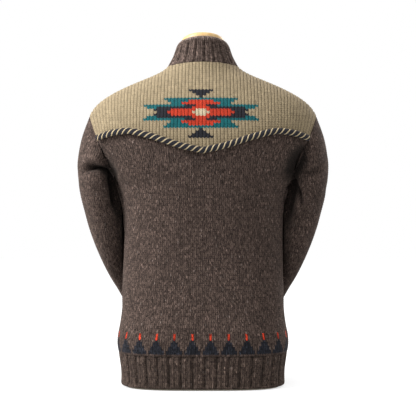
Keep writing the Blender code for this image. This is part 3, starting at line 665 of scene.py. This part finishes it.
# share of width, share of height, half length, half width, lean, depth
SIDE_DENTS = ((0.985, 0.21, 0.06, 0.08, 0, 5.0), (0.015, 0.22, 0.06, 0.08, 0, 3.0),
              (0.985, 0.66, 0.05, 0.10, 0, 5.5))
BODY_CREASES = {
    BACK: ((0.945, 0.880, 0.036, 0.040, -0.5, 5.0), (0.060, 0.900, 0.040, 0.050, 0.3, 6.0),
           (0.860, 0.930, 0.100, 0.030, 1.0, 2.2), (0.140, 0.820, 0.100, 0.030, -1.2, 2.4),
           (0.300, 0.120, 0.200, 0.035, 0.1, -1.6), (0.720, 0.140, 0.220, 0.040, -0.1, -1.8),
           (0.150, 0.480, 0.120, 0.050, 0.6, 1.6), (0.900, 0.560, 0.060, 0.090, 0.2, 2.2)),
    FRONT: ((0.950, 0.880, 0.036, 0.050, 0.5, 9.0), (0.050, 0.890, 0.036, 0.055, -0.4, 9.0),
            (0.250, 0.860, 0.150, 0.035, -1.1, 2.4), (0.680, 0.110, 0.220, 0.035, 0.1, -1.6),
            (0.820, 0.620, 0.120, 0.045, -0.7, 2.0)),
}

for side, word, tree_wale in ((BACK, "back", 4), (FRONT, "front", 3)):
    cloth = press(panel_cloth(side), SIDE_DENTS + BODY_CREASES[side])
    colours = ragg(trees(tree_wale), 10 + side, BODY_WALES, 130)
    knitted_piece(f"{word}_body", cloth, BODY_WALES, FINE_STITCH, colours, "body_knit", BODY_WOOL,
                  [f"{word}_panel"])

# %% [markdown]
# ## Yoke
# The yoke is knitted on larger needles from thicker tan wool, so its wales show as clear upright cords. Here
# its lines keep an even distance in plain view and fan out a little downwards, as the shoulders spread them.
# Courses are counted from a level line through the middle of the motif, which keeps that motif level and
# lets the courses droop over the shoulders as cloth does. The motif is a plain stepped diamond on its own
# chart, worked row by row from the middle.

# %% Yokes
YOKE_WALES, YOKE_COURSE = 68, 5.2
MOTIF_Z, MOTIF_WALE = 567.0, 34
WALE_FAN, WALE_DRAW = 1.045, 0.13
MOTIF = (
    # half widths in wales of cream, red, navy and teal, by rows away from the middle
    (3, 10, 13, 13), (2, 9, 14, 14), (0, 3, 13, 16), (0, 2, 5, 17), (0, 6, 6, 9), (0, 4, 4, 10),
    (0, 0, 0, 11), (0, 0, 1, 1), (0, 0, 2, 2), (0, 0, 3, 3), (0, 0, 4, 4),
)


def shoulder_ridge(x):
    """Height of the shoulder seam at a distance from the middle."""
    heights = np.linspace(TIP_Z, SHOULDER[-1][0], 400)
    return np.interp(-np.abs(x), -smooth(heights, SHOULDER), heights)


def neckline(side, x):
    """Height of the neckline: a parabola between its middle and its sides."""
    return NECK_Z[side] + (NECK_SIDE_Z - NECK_Z[side]) * (x / NECK_HALF) ** 2


def yoke_corner(side):
    """Where the yoke's lower edge meets the armhole."""
    z = CORNER_GUESS
    for _ in range(12):
        z = float(smooth(armhole_x(z), YOKE_LINE[side]))
    return armhole_x(z)


def yoke_cloth(side):
    """Lines from x = f(q) on the lower edge to x = q on the shoulder or neckline, at q in even steps, where
    f(q) = q (fan - draw (q / tip)^2), scaled so that the last line meets the armhole's corner."""
    top_x = np.linspace(-TIP_X, TIP_X, 2 * YOKE_WALES + 1)
    low_x = top_x * (WALE_FAN - WALE_DRAW * (top_x / TIP_X) ** 2)
    low_x = low_x * yoke_corner(side) / low_x.max()
    top_z = np.where(np.abs(top_x) < NECK_HALF, neckline(side, top_x), shoulder_ridge(top_x))
    low_z = smooth(np.abs(low_x), YOKE_LINE[side]) + SEAM_GAP
    rise = 1 - (1 - np.linspace(0, 1, 400)[:, None]) ** 2
    x, z = low_x + (top_x - low_x) * rise, low_z + (top_z - low_z) * rise
    points = on_figure(side, x, z)
    run = lengths(points, 0)
    level = np.array([np.interp(MOTIF_Z, z[:, k], run[:, k]) for k in range(z.shape[1])])
    return Cloth(points, (run - level) / YOKE_COURSE + 0.5, np.array([0, 0, 480.0]))


def motif(lowest):
    """The yoke's chart: the first of the nested half widths that a stitch lies within names its yarn."""

    def pick(wale, course, names):
        row = np.abs(course + lowest)
        half = np.array(MOTIF)[np.clip(row, 0, len(MOTIF) - 1)]
        away = np.abs(wale - MOTIF_WALE)
        chosen = np.full(wale.shape, names.index("tan"))
        for k, name in reversed(list(enumerate(("cream", "red", "navy", "teal")))):
            chosen = np.where((away < half[..., k]) & (row < len(MOTIF)), names.index(name), chosen)
        return chosen

    return pick


for side, word in ((BACK, "back"), (FRONT, "front")):
    cloth = yoke_cloth(side)
    lowest = math.floor(cloth.first.min())
    pick = motif(lowest) if side == BACK else "tan"
    colours = ragg(pick, 20 + side, YOKE_WALES, 60, spread=0.09, pale=0.0)
    knitted_piece(f"{word}_yoke_knit", cloth, YOKE_WALES, BULKY_STITCH, colours, "yoke_knit", YOKE_WOOL,
                  [f"{word}_yoke"])
    print(f"{word} yoke: courses {cloth.first.min():.1f} to {cloth.last.max():.1f}")

# %% [markdown]
# ## Sleeves
# A set-in sleeve hangs from the armhole, bends forward at the elbow and narrows to the wrist. It is a loft
# through slanted ovals. Down the arm its courses lie square to the sleeve, while in the cap each line keeps
# its own length, because the cap is longer outside than under the arm. The folds are soft bells pressed into
# the loft: the deep one at the back of the armhole, and smaller ones at the elbow, different left and right.

# %% Sleeves
SLEEVE = (
    # nearer edge x, y, z, outer edge x, y, z, reach behind, reach before
    (UNDERARM_X, 0, UNDERARM_Z, TIP_X, 0, TIP_Z, 70, 62), (182, 0, 416, 257, 0, 521, 71, 63),
    (183, -1, 412, 266, 0, 472, 70, 63), (183, -2, 405, 265, -1, 434, 68, 62),
    (181, -4, 392, 260, -4, 399, 66, 61), (178, -8, 371, 252, -8, 365, 63, 60),
    (176, -13, 344, 244, -15, 335, 61, 58), (172, -22, 316, 233, -28, 303, 58, 57),
    (166, -36, 288, 219, -49, 270, 55, 55), (154, -56, 261, 206, -73, 240, 52, 52),
    (137, -78, 235, 192, -98, 211, 49, 49), (122, -98, 211, 179, -120, 183, 46, 46),
    (105, -116, 188, 159, -138, 155, 43, 43), (84, -131, 166, 133, -150, 130, 38, 38),
    (66, -141, 145, 114, -157, 108, 36, 36), (46, -149, 124, 93, -163, 86, 35, 35),
)
SLEEVE_END, CUFF_END, CAP_END = 13, 15, 4
SLEEVE_WALES, SLEEVE_COURSE = 72, 4.3
RING_COLUMNS = 2 * SLEEVE_WALES + 1
BODY_CLEARANCE, LEAN, DIP_REACH = (0.4, 2.6), 9.0, 1.1
SLEEVE_FOLDS = {
    # place along in rows, degrees round, half length in degrees, half width in rows, depth, slant in rows
    LEFT: ((1.42, 90, 46, 0.22, 23.0, 0.90), (0.96, 90, 42, 0.26, -9.0, 0.90), (1.5, 34, 30, 1.1, 24.0, 0),
           (3.7, 28, 26, 1.7, 20.0, 0), (0.75, 58, 26, 0.5, 13.0, 0), (4.6, 64, 38, 0.50, 4.0, 0.5),
           (7.3, 300, 60, 0.55, 6.0, -0.2), (2.3, 110, 60, 0.22, 2.4, 0.25), (3.3, 95, 70, 0.30, 2.0, -0.20),
           (5.6, 40, 50, 0.40, 2.0, 0.3), (8.4, 320, 70, 0.30, 2.6, 0.25), (9.3, 280, 60, 0.28, 2.0, -0.2),
           (11.2, 30, 60, 0.35, 1.6, 0.3)),
    RIGHT: ((2.1, 32, 28, 1.5, 24.0, 0), (3.2, 60, 26, 0.36, 14.0, 1.6), (1.9, 96, 32, 0.26, 7.0, 0.3),
            (4.6, 30, 26, 1.3, 14.0, 0), (7.0, 300, 60, 0.55, 6.0, 0.2), (5.6, 75, 34, 0.45, 3.5, -0.25),
            (1.9, 120, 50, 0.20, 2.4, -0.2), (3.4, 110, 75, 0.30, 2.6, 0.15), (5.2, 50, 60, 0.40, 2.2, -0.3),
            (8.1, 310, 70, 0.30, 2.6, -0.2), (9.6, 290, 60, 0.30, 2.2, 0.2), (11.5, 60, 60, 0.35, 1.6, -0.3)),
}


def clear_of_body(points, clearance):
    """Points that would lie in the body are moved level, out to its surface and a little past it."""
    x, y, z = points[..., 0], points[..., 1], np.clip(points[..., 2], HEM_LIFT, UNDERARM_Z)
    n = smooth(z, DEPTH, 3)
    half = smooth(z, BODY) + clearance
    deep = np.where(y >= 0, depth(BACK, z), depth(FRONT, z)) + clearance
    inside = (np.abs(x) / half) ** n + (np.abs(y) / deep) ** n
    grow = np.where(inside < 1, np.maximum(inside, 1e-6) ** (-1 / n), 1.0)
    return points * xyz(grow, grow, 1.0)


def sleeve_rings(places, inset, hand):
    """Rings of the sleeve: middle - half cos(turn) across + reach sin(turn) rear, moved in by inset and by
    the folds, for the left side. Returns the rings, their middles and the depth of the folds with the seam's
    dip counted stronger, which drives the painted shade."""
    rows = tuple((k,) + row for k, row in enumerate(SLEEVE))

    def read(p, first):
        return np.stack([smooth(p, rows, first + k) for k in range(3)], axis=-1)

    near, far = read(places, 1), read(places, 4)
    near[:, 0] -= LEAN * np.clip(places / 2, 0, 1) * np.exp(-(np.maximum(places - 4, 0) / 4) ** 6)
    half = np.linalg.norm(far - near, axis=-1, keepdims=True) / 2
    across = unit(far - near)
    ahead, behind = np.minimum(places + 0.3, CUFF_END), np.maximum(places - 0.3, 0)
    path = read(ahead, 1) + read(ahead, 4) - read(behind, 1) - read(behind, 4)
    rear = unit(np.cross(across, path))
    turn = full_turn(RING_COLUMNS)
    reach = np.where(np.sin(turn) >= 0, smooth(places, rows, 7)[:, None], smooth(places, rows, 8)[:, None])
    middle = (near + far) / 2
    ring = (middle[:, None] - (half * np.cos(turn))[..., None] * across[:, None]
            + (reach * np.sin(turn))[..., None] * rear[:, None])
    along = np.cross(rear, across)
    away = facing(unit(np.cross(slope_round(ring), along[:, None])), ring - middle[:, None])
    moved = np.zeros(ring.shape[:2])
    for where, round_to, half_long, half_wide, deep, slant in SLEEVE_FOLDS[hand]:
        round_off = (np.degrees(turn) - round_to + 180) % 360 - 180
        along_off = places[:, None] - where - slant * round_off / half_long
        moved += deep * np.exp(-1.5 * (round_off / half_long) ** 2 - (along_off / half_wide) ** 2)
    moved *= np.clip(places / 0.5, 0, 1)[:, None]
    ring = ring - away * (moved + inset[:, None])[..., None]
    armhole_z = TIP_Z / 2 + UNDERARM_Z / 2 - (TIP_Z - UNDERARM_Z) / 2 * np.cos(turn)
    dip = seam_dip(hand, armhole_z) * np.clip(np.sin(turn) * 3, 0, 1)
    dip = dip * np.exp(-(places[:, None] / DIP_REACH) ** 2)
    ring[..., 1] -= dip
    # The dip, weighed, joins the fold depth for the painted shade.
    moved = moved + DIP_SHADE_WEIGHT * dip
    clearance = np.interp(places, (0, 2), BODY_CLEARANCE)[:, None]
    open_end = places[:, None, None] > 0
    return np.where(open_end, clear_of_body(ring, clearance), ring), middle, moved


def sleeve_cloth(hand):
    """The sleeve from the cuff's seam up to the armhole. Courses are even along the arm's middle, and above
    it each line counts its own length."""
    places = np.linspace(SLEEVE_END, 0, 300)
    rings, middles, fold = sleeve_rings(places, np.zeros(places.shape), hand)
    own = lengths(rings, 0)
    shared = own.mean(axis=1, keepdims=True)
    turn = int(np.argmin(np.abs(places - CAP_END)))
    run = np.where(np.arange(len(places))[:, None] <= turn, shared, shared[turn] + own - own[turn])
    mirror = np.array([hand, 1, 1])
    return Cloth(rings * mirror, run / SLEEVE_COURSE, middles[-1] * mirror, wraps=True, fold=fold)


for hand, word in ((LEFT, "left"), (RIGHT, "right")):
    cloth = sleeve_cloth(hand)
    colours = ragg("brown", 30 + hand, SLEEVE_WALES, 150)
    parts = [f"{word}_{part}_sleeve" for part in ("upper", "middle", "lower")]
    knitted_piece(f"{word}_sleeve_knit", cloth, SLEEVE_WALES, FINE_STITCH, colours, "body_knit", BODY_WOOL,
                  parts)
    print(f"{word} sleeve: courses {cloth.first.min():.1f} to {cloth.last.max():.1f}")

# %% [markdown]
# ## Ribbing
# The hem, the collar and the cuffs are ribs: a few wales stand forward, the next ones sink back, and the band
# pulls in like a bellows. Each is a ring carried along a short profile that goes up the outside, rolls over
# the edge and comes back inside, so the band has real thickness where one looks into it.

# %% Ribbed bands
RIB_COURSE = 4.1
HEM_WALES, COLLAR_WALES, CUFF_WALES = 42 * 5, 21 * 4, 12 * 4
# half width, half depth, middle, height and tilt of the collar's upper edge, and the steps of its pale part
COLLAR_TOP, COLLAR_PALE = (53.0, 52.5, -1.0, 718.0, 0.28), (4.7, 9.5)
HEM_PROFILE = (
    # step, height, inset
    (0, 20, 5.2), (1, 12, 5.2), (2, 6.5, 4.9), (3, 4.0, 4.0), (4, 3.1, 2.5), (5, 4.0, 1.0), (6, 6.5, 0.2),
    (7, 12, 0.6), (8, 22, 1.2), (9, 32, 1.8), (10, 42, 2.4), (11, 52, 2.9), (12, 61, 3.3), (13, 69.95, 3.8),
)
CUFF_PROFILE = (
    # step, place along the sleeve, inset
    (0, 13.9, 5.2), (1, 14.5, 5.2), (2, 14.88, 4.9), (3, 14.97, 4.0), (4, 15, 2.5), (5, 14.97, 1.0),
    (6, 14.88, 0.1), (7, 14.5, 0), (8, 14.0, 0), (9, 13.5, 0), (10, 13.03, 0),
)
COLLAR_PROFILE = (
    # step, share of the way up, inset
    (0, 0, 0), (1, 0.2, 1.0), (2, 0.42, 1.6), (3, 0.65, 0.6), (4, 0.8, -0.4), (5, 0.9, -0.4), (6, 0.955, 0),
    (7, 0.985, 0.8), (8, 1.0, 2.4), (9, 0.985, 4.0), (10, 0.95, 4.8), (11, 0.85, 4.9), (12, 0.6, 5.6),
    (13, 0.35, 6.4),
)


def ribs_of(wales_to_rib, fade):
    """Share of a furrow by wale and course: a deep one at four fifths of each rib and a shallow one at three
    tenths, each a bell, faded in between two courses."""

    def ribs(u, v):
        deep, shallow = (np.exp(-((((u / wales_to_rib) % 1 - middle + 0.5) % 1 - 0.5) / wide) ** 2)
                         for middle, wide in ((0.8, 0.13), (0.3, 0.08)))
        return (deep + 0.3 * shallow) * np.clip((v - fade[0]) / (fade[1] - fade[0]), 0, 1)

    return ribs


def steps_of(profile, count):
    """A profile's two columns at count even steps."""
    at_step = np.linspace(0, len(profile) - 1, count)
    return smooth(at_step, profile, 1), smooth(at_step, profile, 2)


def hem_cloth():
    """Sections of the figure, moved in by the profile, with even wales all round."""
    height, inset = steps_of(HEM_PROFILE, 120)
    rings = section(full_turn(1441)[None], height[:, None])
    rings = respaced(rings, lengths(rings, 1), 2 * HEM_WALES + 1)
    rings = rings - level_away(rings) * inset[:, None, None]
    return Cloth(rings, lengths(rings, 0) / RIB_COURSE, np.array([0, 0, 35.0]), wraps=True)


cloth = hem_cloth()
colours = ragg("rib brown", 40, HEM_WALES, 30)
knitted_piece("hem_rib_knit", cloth, HEM_WALES, FINE_STITCH, colours, "rib_knit", RIB_WOOL, ["hem_rib"],
              ribs_of(5, (4.5, 6.5)))


def collar_cloth():
    """Rings between the neckline and the slanted upper edge, moved in by the profile."""
    x = np.linspace(-NECK_HALF, NECK_HALF, 721)
    back, front = (on_figure(side, x, neckline(side, x))[::side] for side in (BACK, FRONT))
    ring = np.concatenate([back[360:], front[1:], back[1:361]])[None]
    columns = 4 * COLLAR_WALES + 1
    base = respaced(ring, lengths(ring, 1), columns)[0] + np.array([0, 0, 2 * SEAM_GAP])
    turn = full_turn(columns)
    half_wide, half_deep, middle, height, tilt = COLLAR_TOP
    y = middle + half_deep * np.cos(turn)
    top = xyz(half_wide * np.sin(turn), y, height + tilt * y)
    share, inset = steps_of(COLLAR_PROFILE, 120)
    rings = base + (top - base) * share[:, None, None]
    rings = rings - level_away(rings) * inset[:, None, None]
    run = lengths(rings, 0).mean(axis=1, keepdims=True)
    return Cloth(rings, run / RIB_COURSE + 0 * rings[..., 0], np.array([0, 0, 690.0]), wraps=True), run


cloth, run = collar_cloth()
EDGE_FIRST, EDGE_LAST = np.interp(COLLAR_PALE, np.linspace(0, 13, len(run)), run[:, 0]) / RIB_COURSE


def collar_edge(wale, course, names):
    """The knitted edge at the top is paler than the ribs."""
    edge = (course >= EDGE_FIRST - 0.5) & (course <= EDGE_LAST)
    return np.where(edge, names.index("edge brown"), names.index("collar brown"))


colours = ragg(collar_edge, 41, COLLAR_WALES, 40)
knitted_piece("collar_rib_knit", cloth, COLLAR_WALES, FINE_STITCH, colours, "rib_knit", RIB_WOOL,
              ["collar_rib"], ribs_of(4, (EDGE_FIRST, EDGE_FIRST - 2)))

for hand, word in ((LEFT, "left"), (RIGHT, "right")):
    along, inset = steps_of(CUFF_PROFILE, 100)
    rings, middles, _ = sleeve_rings(np.clip(along, SLEEVE_END, CUFF_END), inset, hand)
    mirror = np.array([hand, 1, 1])
    run = lengths(rings, 0).mean(axis=1, keepdims=True) + 0 * rings[..., 0]
    cloth = Cloth(rings * mirror, run / RIB_COURSE, middles[-1] * mirror, wraps=True)
    colours = ragg("rib brown", 50 + hand, CUFF_WALES, 40)
    knitted_piece(f"{word}_cuff_knit", cloth, CUFF_WALES, FINE_STITCH, colours, "rib_knit", RIB_WOOL,
                  [f"{word}_cuff"], ribs_of(4, (7.5, 9.5)))

# %% [markdown]
# ## Trim along the yoke's seam
# A cord of six dark strands and two tan ones is sewn over the seam, and its twist gives the slanting
# stripes. Each strand is a thin tube on a helix round the seam's line, so the stripes are real strands.

# %% Twisted trim
CORD_PITCH, HELIX_UP, HELIX_AWAY, STRAND = 24.6, 5.0, 3.6, 1.65
STRANDS = ("trim tan", "navy", "navy", "navy") * 2
STATIONS, ROUND = 281, 7
CORD_AWAY, CORD_STOP, TAPER = 5.3, 4.4, 3


def seam_line(side, count):
    """The yoke's seam with its outward, along and up directions, evenly spaced."""
    reach = yoke_corner(side) - CORD_STOP
    x = np.linspace(-reach, reach, 1200)
    line = on_figure(side, x, smooth(np.abs(x), YOKE_LINE[side]))[None]
    line = respaced(line, lengths(line, 1), count)[0]
    x, z = line[:, 0], line[:, 2]
    slope_x = (figure_y(side, x + 0.5, z) - figure_y(side, x - 0.5, z)) * side
    slope_z = (figure_y(side, x, z + 0.5) - figure_y(side, x, z - 0.5)) * side
    away = unit(xyz(-slope_x, float(side), -slope_z))
    along = unit(np.gradient(line, axis=0))
    up = unit(np.cross(along, away))
    return line, away, along, up * np.sign(up[:, 2:])


def twisted_cord(side):
    """Strand k at a length s is the cord's line plus a cos(f) up + b sin(f) away, where f = 2 pi (s / pitch
    + k / 8), with a round section of its own that thins out at both ends."""
    line, away, along, up = seam_line(side, STATIONS)
    total = float(lengths(line[None], 1)[0, -1])
    s = np.linspace(0, total, STATIONS)
    theta = full_turn(ROUND)
    grids, colours, uvs, strand_shades = [], [], [], []
    for k, yarn in enumerate(STRANDS):
        f = (side * 2 * math.pi * s / CORD_PITCH + 2 * math.pi * k / len(STRANDS))[:, None]
        radial = HELIX_UP * np.cos(f) * up + HELIX_AWAY * np.sin(f) * away
        centre = line + away * CORD_AWAY + radial
        tangent = unit(np.gradient(centre, axis=0))
        first = unit(radial - tangent * (radial * tangent).sum(-1, keepdims=True))
        second = np.cross(tangent, first)
        thick = STRAND * np.clip(np.minimum(s, total - s) / TAPER, 0, 1)[:, None, None]
        ring = centre[:, None] + thick * (np.cos(theta)[:, None] * first[:, None]
                                          + np.sin(theta)[:, None] * second[:, None])
        grids.append(ring)
        colours.append(np.tile(YARN[yarn], ((STATIONS - 1) * (ROUND - 1), 1)))
        uvs.append(np.stack(np.broadcast_arrays(s[:, None] / 3, theta[None] / 3), axis=-1).reshape(-1, 2))
        # Painted shade: each strand is darker on its side towards the cord's middle, where the strands lie
        # close.
        strand_shades.append(np.broadcast_to(0.5 - 0.5 * np.cos(theta), (STATIONS, ROUND)).ravel())
    quads = grid_quads(STATIONS, ROUND)[:, ::side]
    faces = np.concatenate([quads + k * STATIONS * ROUND for k in range(len(STRANDS))])
    points = np.concatenate([grid.reshape(-1, 3) for grid in grids])
    return points, faces, np.concatenate(uvs), np.concatenate(colours), np.concatenate(strand_shades)


for side, word in ((BACK, "back"), (FRONT, "front")):
    mesh = mesh_of(f"{word}_twisted_trim", *twisted_cord(side))
    place(f"{word}_twisted_trim", mesh, "trim_yarn", TRIM_WOOL, f"{word}_trim_cord")

# %% [markdown]
# ## The dress form and its cap
# Inside stands a torso without limbs, covered in plain linen, and its neck is closed by a turned wooden cap.
# Little of it shows: the cap inside the collar and a dark line under the hem. Both are rings stacked along
# an axis, which a lathe or a tailor's block would give too.

# %% Form and cap
CLOTH_WALL, ARMHOLE_EASE, ARMHOLE_MIDDLE, ARMHOLE_HALF = 3.2, 34.0, 500, 82
FORM_EASE = ((0, 7), (80, 9), (257, 5), (419, 6), (520, 5), (585, 3.2), (612, 3.5), (640, 3.5), (700, 3.5))
FORM_NECK = (
    # step, height, half width, back, front, tilt
    (0, 670, 62, 50, 50, 0.04), (1, 682, 53.5, 46.5, 48.5, 0.14), (2, 696, 47, 43.5, 45.5, 0.24),
    (3, 716, 45, 43, 45, 0.28),
)
CAP_RADIUS, CAP_THICK, CAP_ROUND, CAP_TILT, CAP_SEAT = 45.5, 15.0, 6.0, 0.28, (-1, 716.22)


def turned_mesh(name, rings, sharp):
    """A mesh of stacked rings, shut at both ends by rings drawn in to their middles. The shading is even,
    with sharp edges where it turns by more than an angle."""
    low, high = rings[:1].mean(axis=1, keepdims=True), rings[-1:].mean(axis=1, keepdims=True)
    rings = np.concatenate([low + 0 * rings[:1], rings, high + 0 * rings[-1:]])
    faces = facing_quads(rings, rings - rings.mean(axis=(0, 1)))
    u, v = np.meshgrid(np.linspace(0, 1, rings.shape[1]), np.linspace(0, 1, rings.shape[0]))
    mesh = mesh_of(name, rings.reshape(-1, 3), faces, np.stack([u, v], axis=-1).reshape(-1, 2),
                   np.ones((len(faces), 3)), np.zeros(u.size))
    mesh.set_sharp_from_angle(angle=math.radians(sharp))
    return mesh


def form_rings():
    """The figure's sections drawn in by the cloth and an ease, which is large inside the armholes, then
    ovals up the neck."""
    turn = full_turn(73)[None]
    z = np.concatenate([np.linspace(0, 560, 44), np.linspace(566, 660, 18)])[:, None]
    rings = section(turn, z)
    normals = facing(outward(rings, True), rings * LEVEL)
    normals = np.where(z[..., None] < UNDERARM_Z, unit(normals * LEVEL), normals)
    armhole = np.clip(1 - ((z - ARMHOLE_MIDDLE) / ARMHOLE_HALF) ** 2, 0, 1)
    ease = CLOTH_WALL + smooth(z, FORM_EASE) + ARMHOLE_EASE * armhole * np.abs(np.cos(turn)) ** 6
    body = rings - normals * ease[..., None]
    step = np.linspace(0, 3, 16)[:, None]
    height, half, back, front, tilt = (smooth(step, FORM_NECK, k) for k in range(1, 6))
    y = np.where(np.sin(turn) >= 0, back, front) * np.sin(turn)
    return np.concatenate([body, xyz(half * np.cos(turn), y, height + tilt * y)])


def cap_rings():
    """A disc with a rounded upper edge, tilted like the neck's end."""
    corner = np.linspace(0, math.pi / 2, 9)
    upper = [(CAP_RADIUS - CAP_ROUND * (1 - math.cos(a)), CAP_THICK - CAP_ROUND * (1 - math.sin(a)))
             for a in corner]
    profile = np.array([(CAP_RADIUS - 3.0, 0), (CAP_RADIUS - 0.8, 0.8), (CAP_RADIUS, 3.0)] + upper
                       + [(CAP_RADIUS - CAP_ROUND - 12, CAP_THICK), (8, CAP_THICK)])
    turn = full_turn(129)
    r, z = profile[:, :1], profile[:, 1:]
    y = r * np.sin(turn)
    tip = math.atan(CAP_TILT)
    return xyz(r * np.cos(turn), CAP_SEAT[0] + y * math.cos(tip) - z * math.sin(tip),
               CAP_SEAT[1] + y * math.sin(tip) + z * math.cos(tip))


def plain_material(name, dark, pale, stretch, scale, rough, bump):
    """Linen or wood: a noise stretched along its threads or grain mixes two tones and raises the surface."""
    material, tree, shader = new_material(name)
    spot = add_node(tree, "TexCoord")
    along = add_node(tree, "Mapping", {"Vector": spot.outputs["Object"], "Scale": stretch})
    grain = add_node(tree, "TexNoise", {"Vector": along.outputs["Vector"], "Scale": scale, "Detail": 5.0,
                                        "Roughness": 0.6, "Distortion": 0.4})
    tones = add_node(tree, "ValToRGB", {"Fac": grain.outputs["Fac"]})
    tones.color_ramp.elements[0].position, tones.color_ramp.elements[1].position = 0.3, 0.7
    tones.color_ramp.elements[0].color, tones.color_ramp.elements[1].color = (*dark, 1), (*pale, 1)
    gloss = add_node(tree, "MapRange", {"Value": grain.outputs["Fac"], "To Min": rough - 0.06,
                                        "To Max": rough + 0.06})
    raised = add_node(tree, "Bump", {"Height": grain.outputs["Fac"], "Strength": 0.4, "Distance": bump})
    tree.links.new(tones.outputs["Color"], shader.inputs["Base Color"])
    tree.links.new(gloss.outputs["Result"], shader.inputs["Roughness"])
    tree.links.new(raised.outputs["Normal"], shader.inputs["Normal"])
    return material


LINEN = plain_material("plain linen", linear(196, 182, 160), linear(222, 211, 190),
                       (1, 1, 4), 300, 0.9, 0.0004)
BEECH = plain_material("oiled beech", linear(212, 170, 108), linear(232, 198, 142),
                       (30, 3, 3), 6, 0.42, 0.0001)
place("linen_form", turned_mesh("linen_form", form_rings(), 40), "form_linen", LINEN, "dress_form")
place("beech_cap", turned_mesh("beech_cap", cap_rings(), 40), "form_wood", BEECH, "neck_cap")

# %% [markdown]
# ## Floor, light and camera
# The garment stands on white paper under soft light from the upper left, and the far side is a little
# darker. A lamp at that side gives this fall, a weak one near the camera opens the shade, and a third one
# lights the side that the photo hides. The sky stands for the white walls of the room, and it is brighter to
# the left and above. The camera sees it as full white, while it lends less light to the wool.

# %% Floor, light and camera
SKY_MEAN, SKY_SLOPE, TABLE_GLOW = 0.68, (0.25, 0, 0.35), 0.62
PAPER_DARK, PAPER_PALE, FLOOR_HALF = (0.43, 0.43, 0.43), (0.47, 0.47, 0.47), 6
CAMERA_AT, FOCAL_PIXELS, PICTURE_PIXELS, SENSOR = (-0.0107, 2.55, 0.372), 1197.2, 416, 36


def paper():
    """White paper with a faint tooth, lit from below as on a light table, which keeps it white and leaves
    only a faint shadow. That light reaches the eye alone, so the wool gets no glow from it."""
    material = plain_material("white paper", PAPER_DARK, PAPER_PALE, (1, 1, 1), 40, 0.85, 0.0001)
    tree = material.node_tree
    shader = tree.nodes["Principled BSDF"]
    shader.inputs["Emission Color"].default_value = (1, 1, 1, 1)
    rays = add_node(tree, "LightPath")
    glow = add_node(tree, "Math", {0: rays.outputs["Is Camera Ray"], 1: TABLE_GLOW}, operation="MULTIPLY")
    tree.links.new(glow.outputs[0], shader.inputs["Emission Strength"])
    return material


floor_mesh = bpy.data.meshes.new("floor")
corners = [(a * FLOOR_HALF, b * FLOOR_HALF, 0) for a, b in ((-1, -1), (1, -1), (1, 1), (-1, 1))]
floor_mesh.from_pydata(corners, [], [(0, 1, 2, 3)])
floor_mesh.materials.append(paper())
in_scene("floor", floor_mesh)

world = bpy.data.worlds.new("white room")
bpy.context.scene.world = world
world.use_nodes = True
sky = world.node_tree.nodes["Background"]
rays = add_node(world.node_tree, "LightPath")
way = add_node(world.node_tree, "TexCoord")
slope = add_node(world.node_tree, "VectorMath", {0: way.outputs["Generated"], 1: SKY_SLOPE},
                 operation="DOT_PRODUCT")
level = add_node(world.node_tree, "Math", {0: slope.outputs["Value"], 1: SKY_MEAN}, operation="ADD")
amount = add_node(world.node_tree, "MapRange", {"Value": rays.outputs["Is Camera Ray"],
                                                "To Min": level.outputs[0], "To Max": 1.0})
world.node_tree.links.new(amount.outputs["Result"], sky.inputs["Strength"])
sky.inputs["Color"].default_value = (1, 1, 1, 1)


def lamp(name, at_point, aim, size, power):
    """A square lamp of even light that faces a point."""
    light = bpy.data.lights.new(name, "AREA")
    light.size, light.energy = size, power
    way = np.array(aim) - np.array(at_point)
    flat = math.hypot(way[0], way[1])
    made = in_scene(name, light)
    made.location = at_point
    made.rotation_euler = (math.atan2(flat, -way[2]), 0, math.atan2(way[1], way[0]) - math.pi / 2)


lamp("side key", (1.95, 0.75, 1.9), (0, 0, 0.4), 0.9, 80)
lamp("back fill", (0.9, 2.8, 1.7), (0, 0, 0.4), 1.0, 6)
lamp("front key", (-1.9, -1.8, 1.6), (0, 0, 0.4), 1.2, 34)

bpy.context.scene.view_settings.view_transform = "Standard"
camera_data = bpy.data.cameras.new("camera")
camera_data.sensor_width, camera_data.lens = SENSOR, FOCAL_PIXELS / PICTURE_PIXELS * SENSOR
camera = in_scene("camera", camera_data)
camera.location, camera.rotation_euler = CAMERA_AT, (math.pi / 2, 0, math.pi)
bpy.context.scene.camera = camera
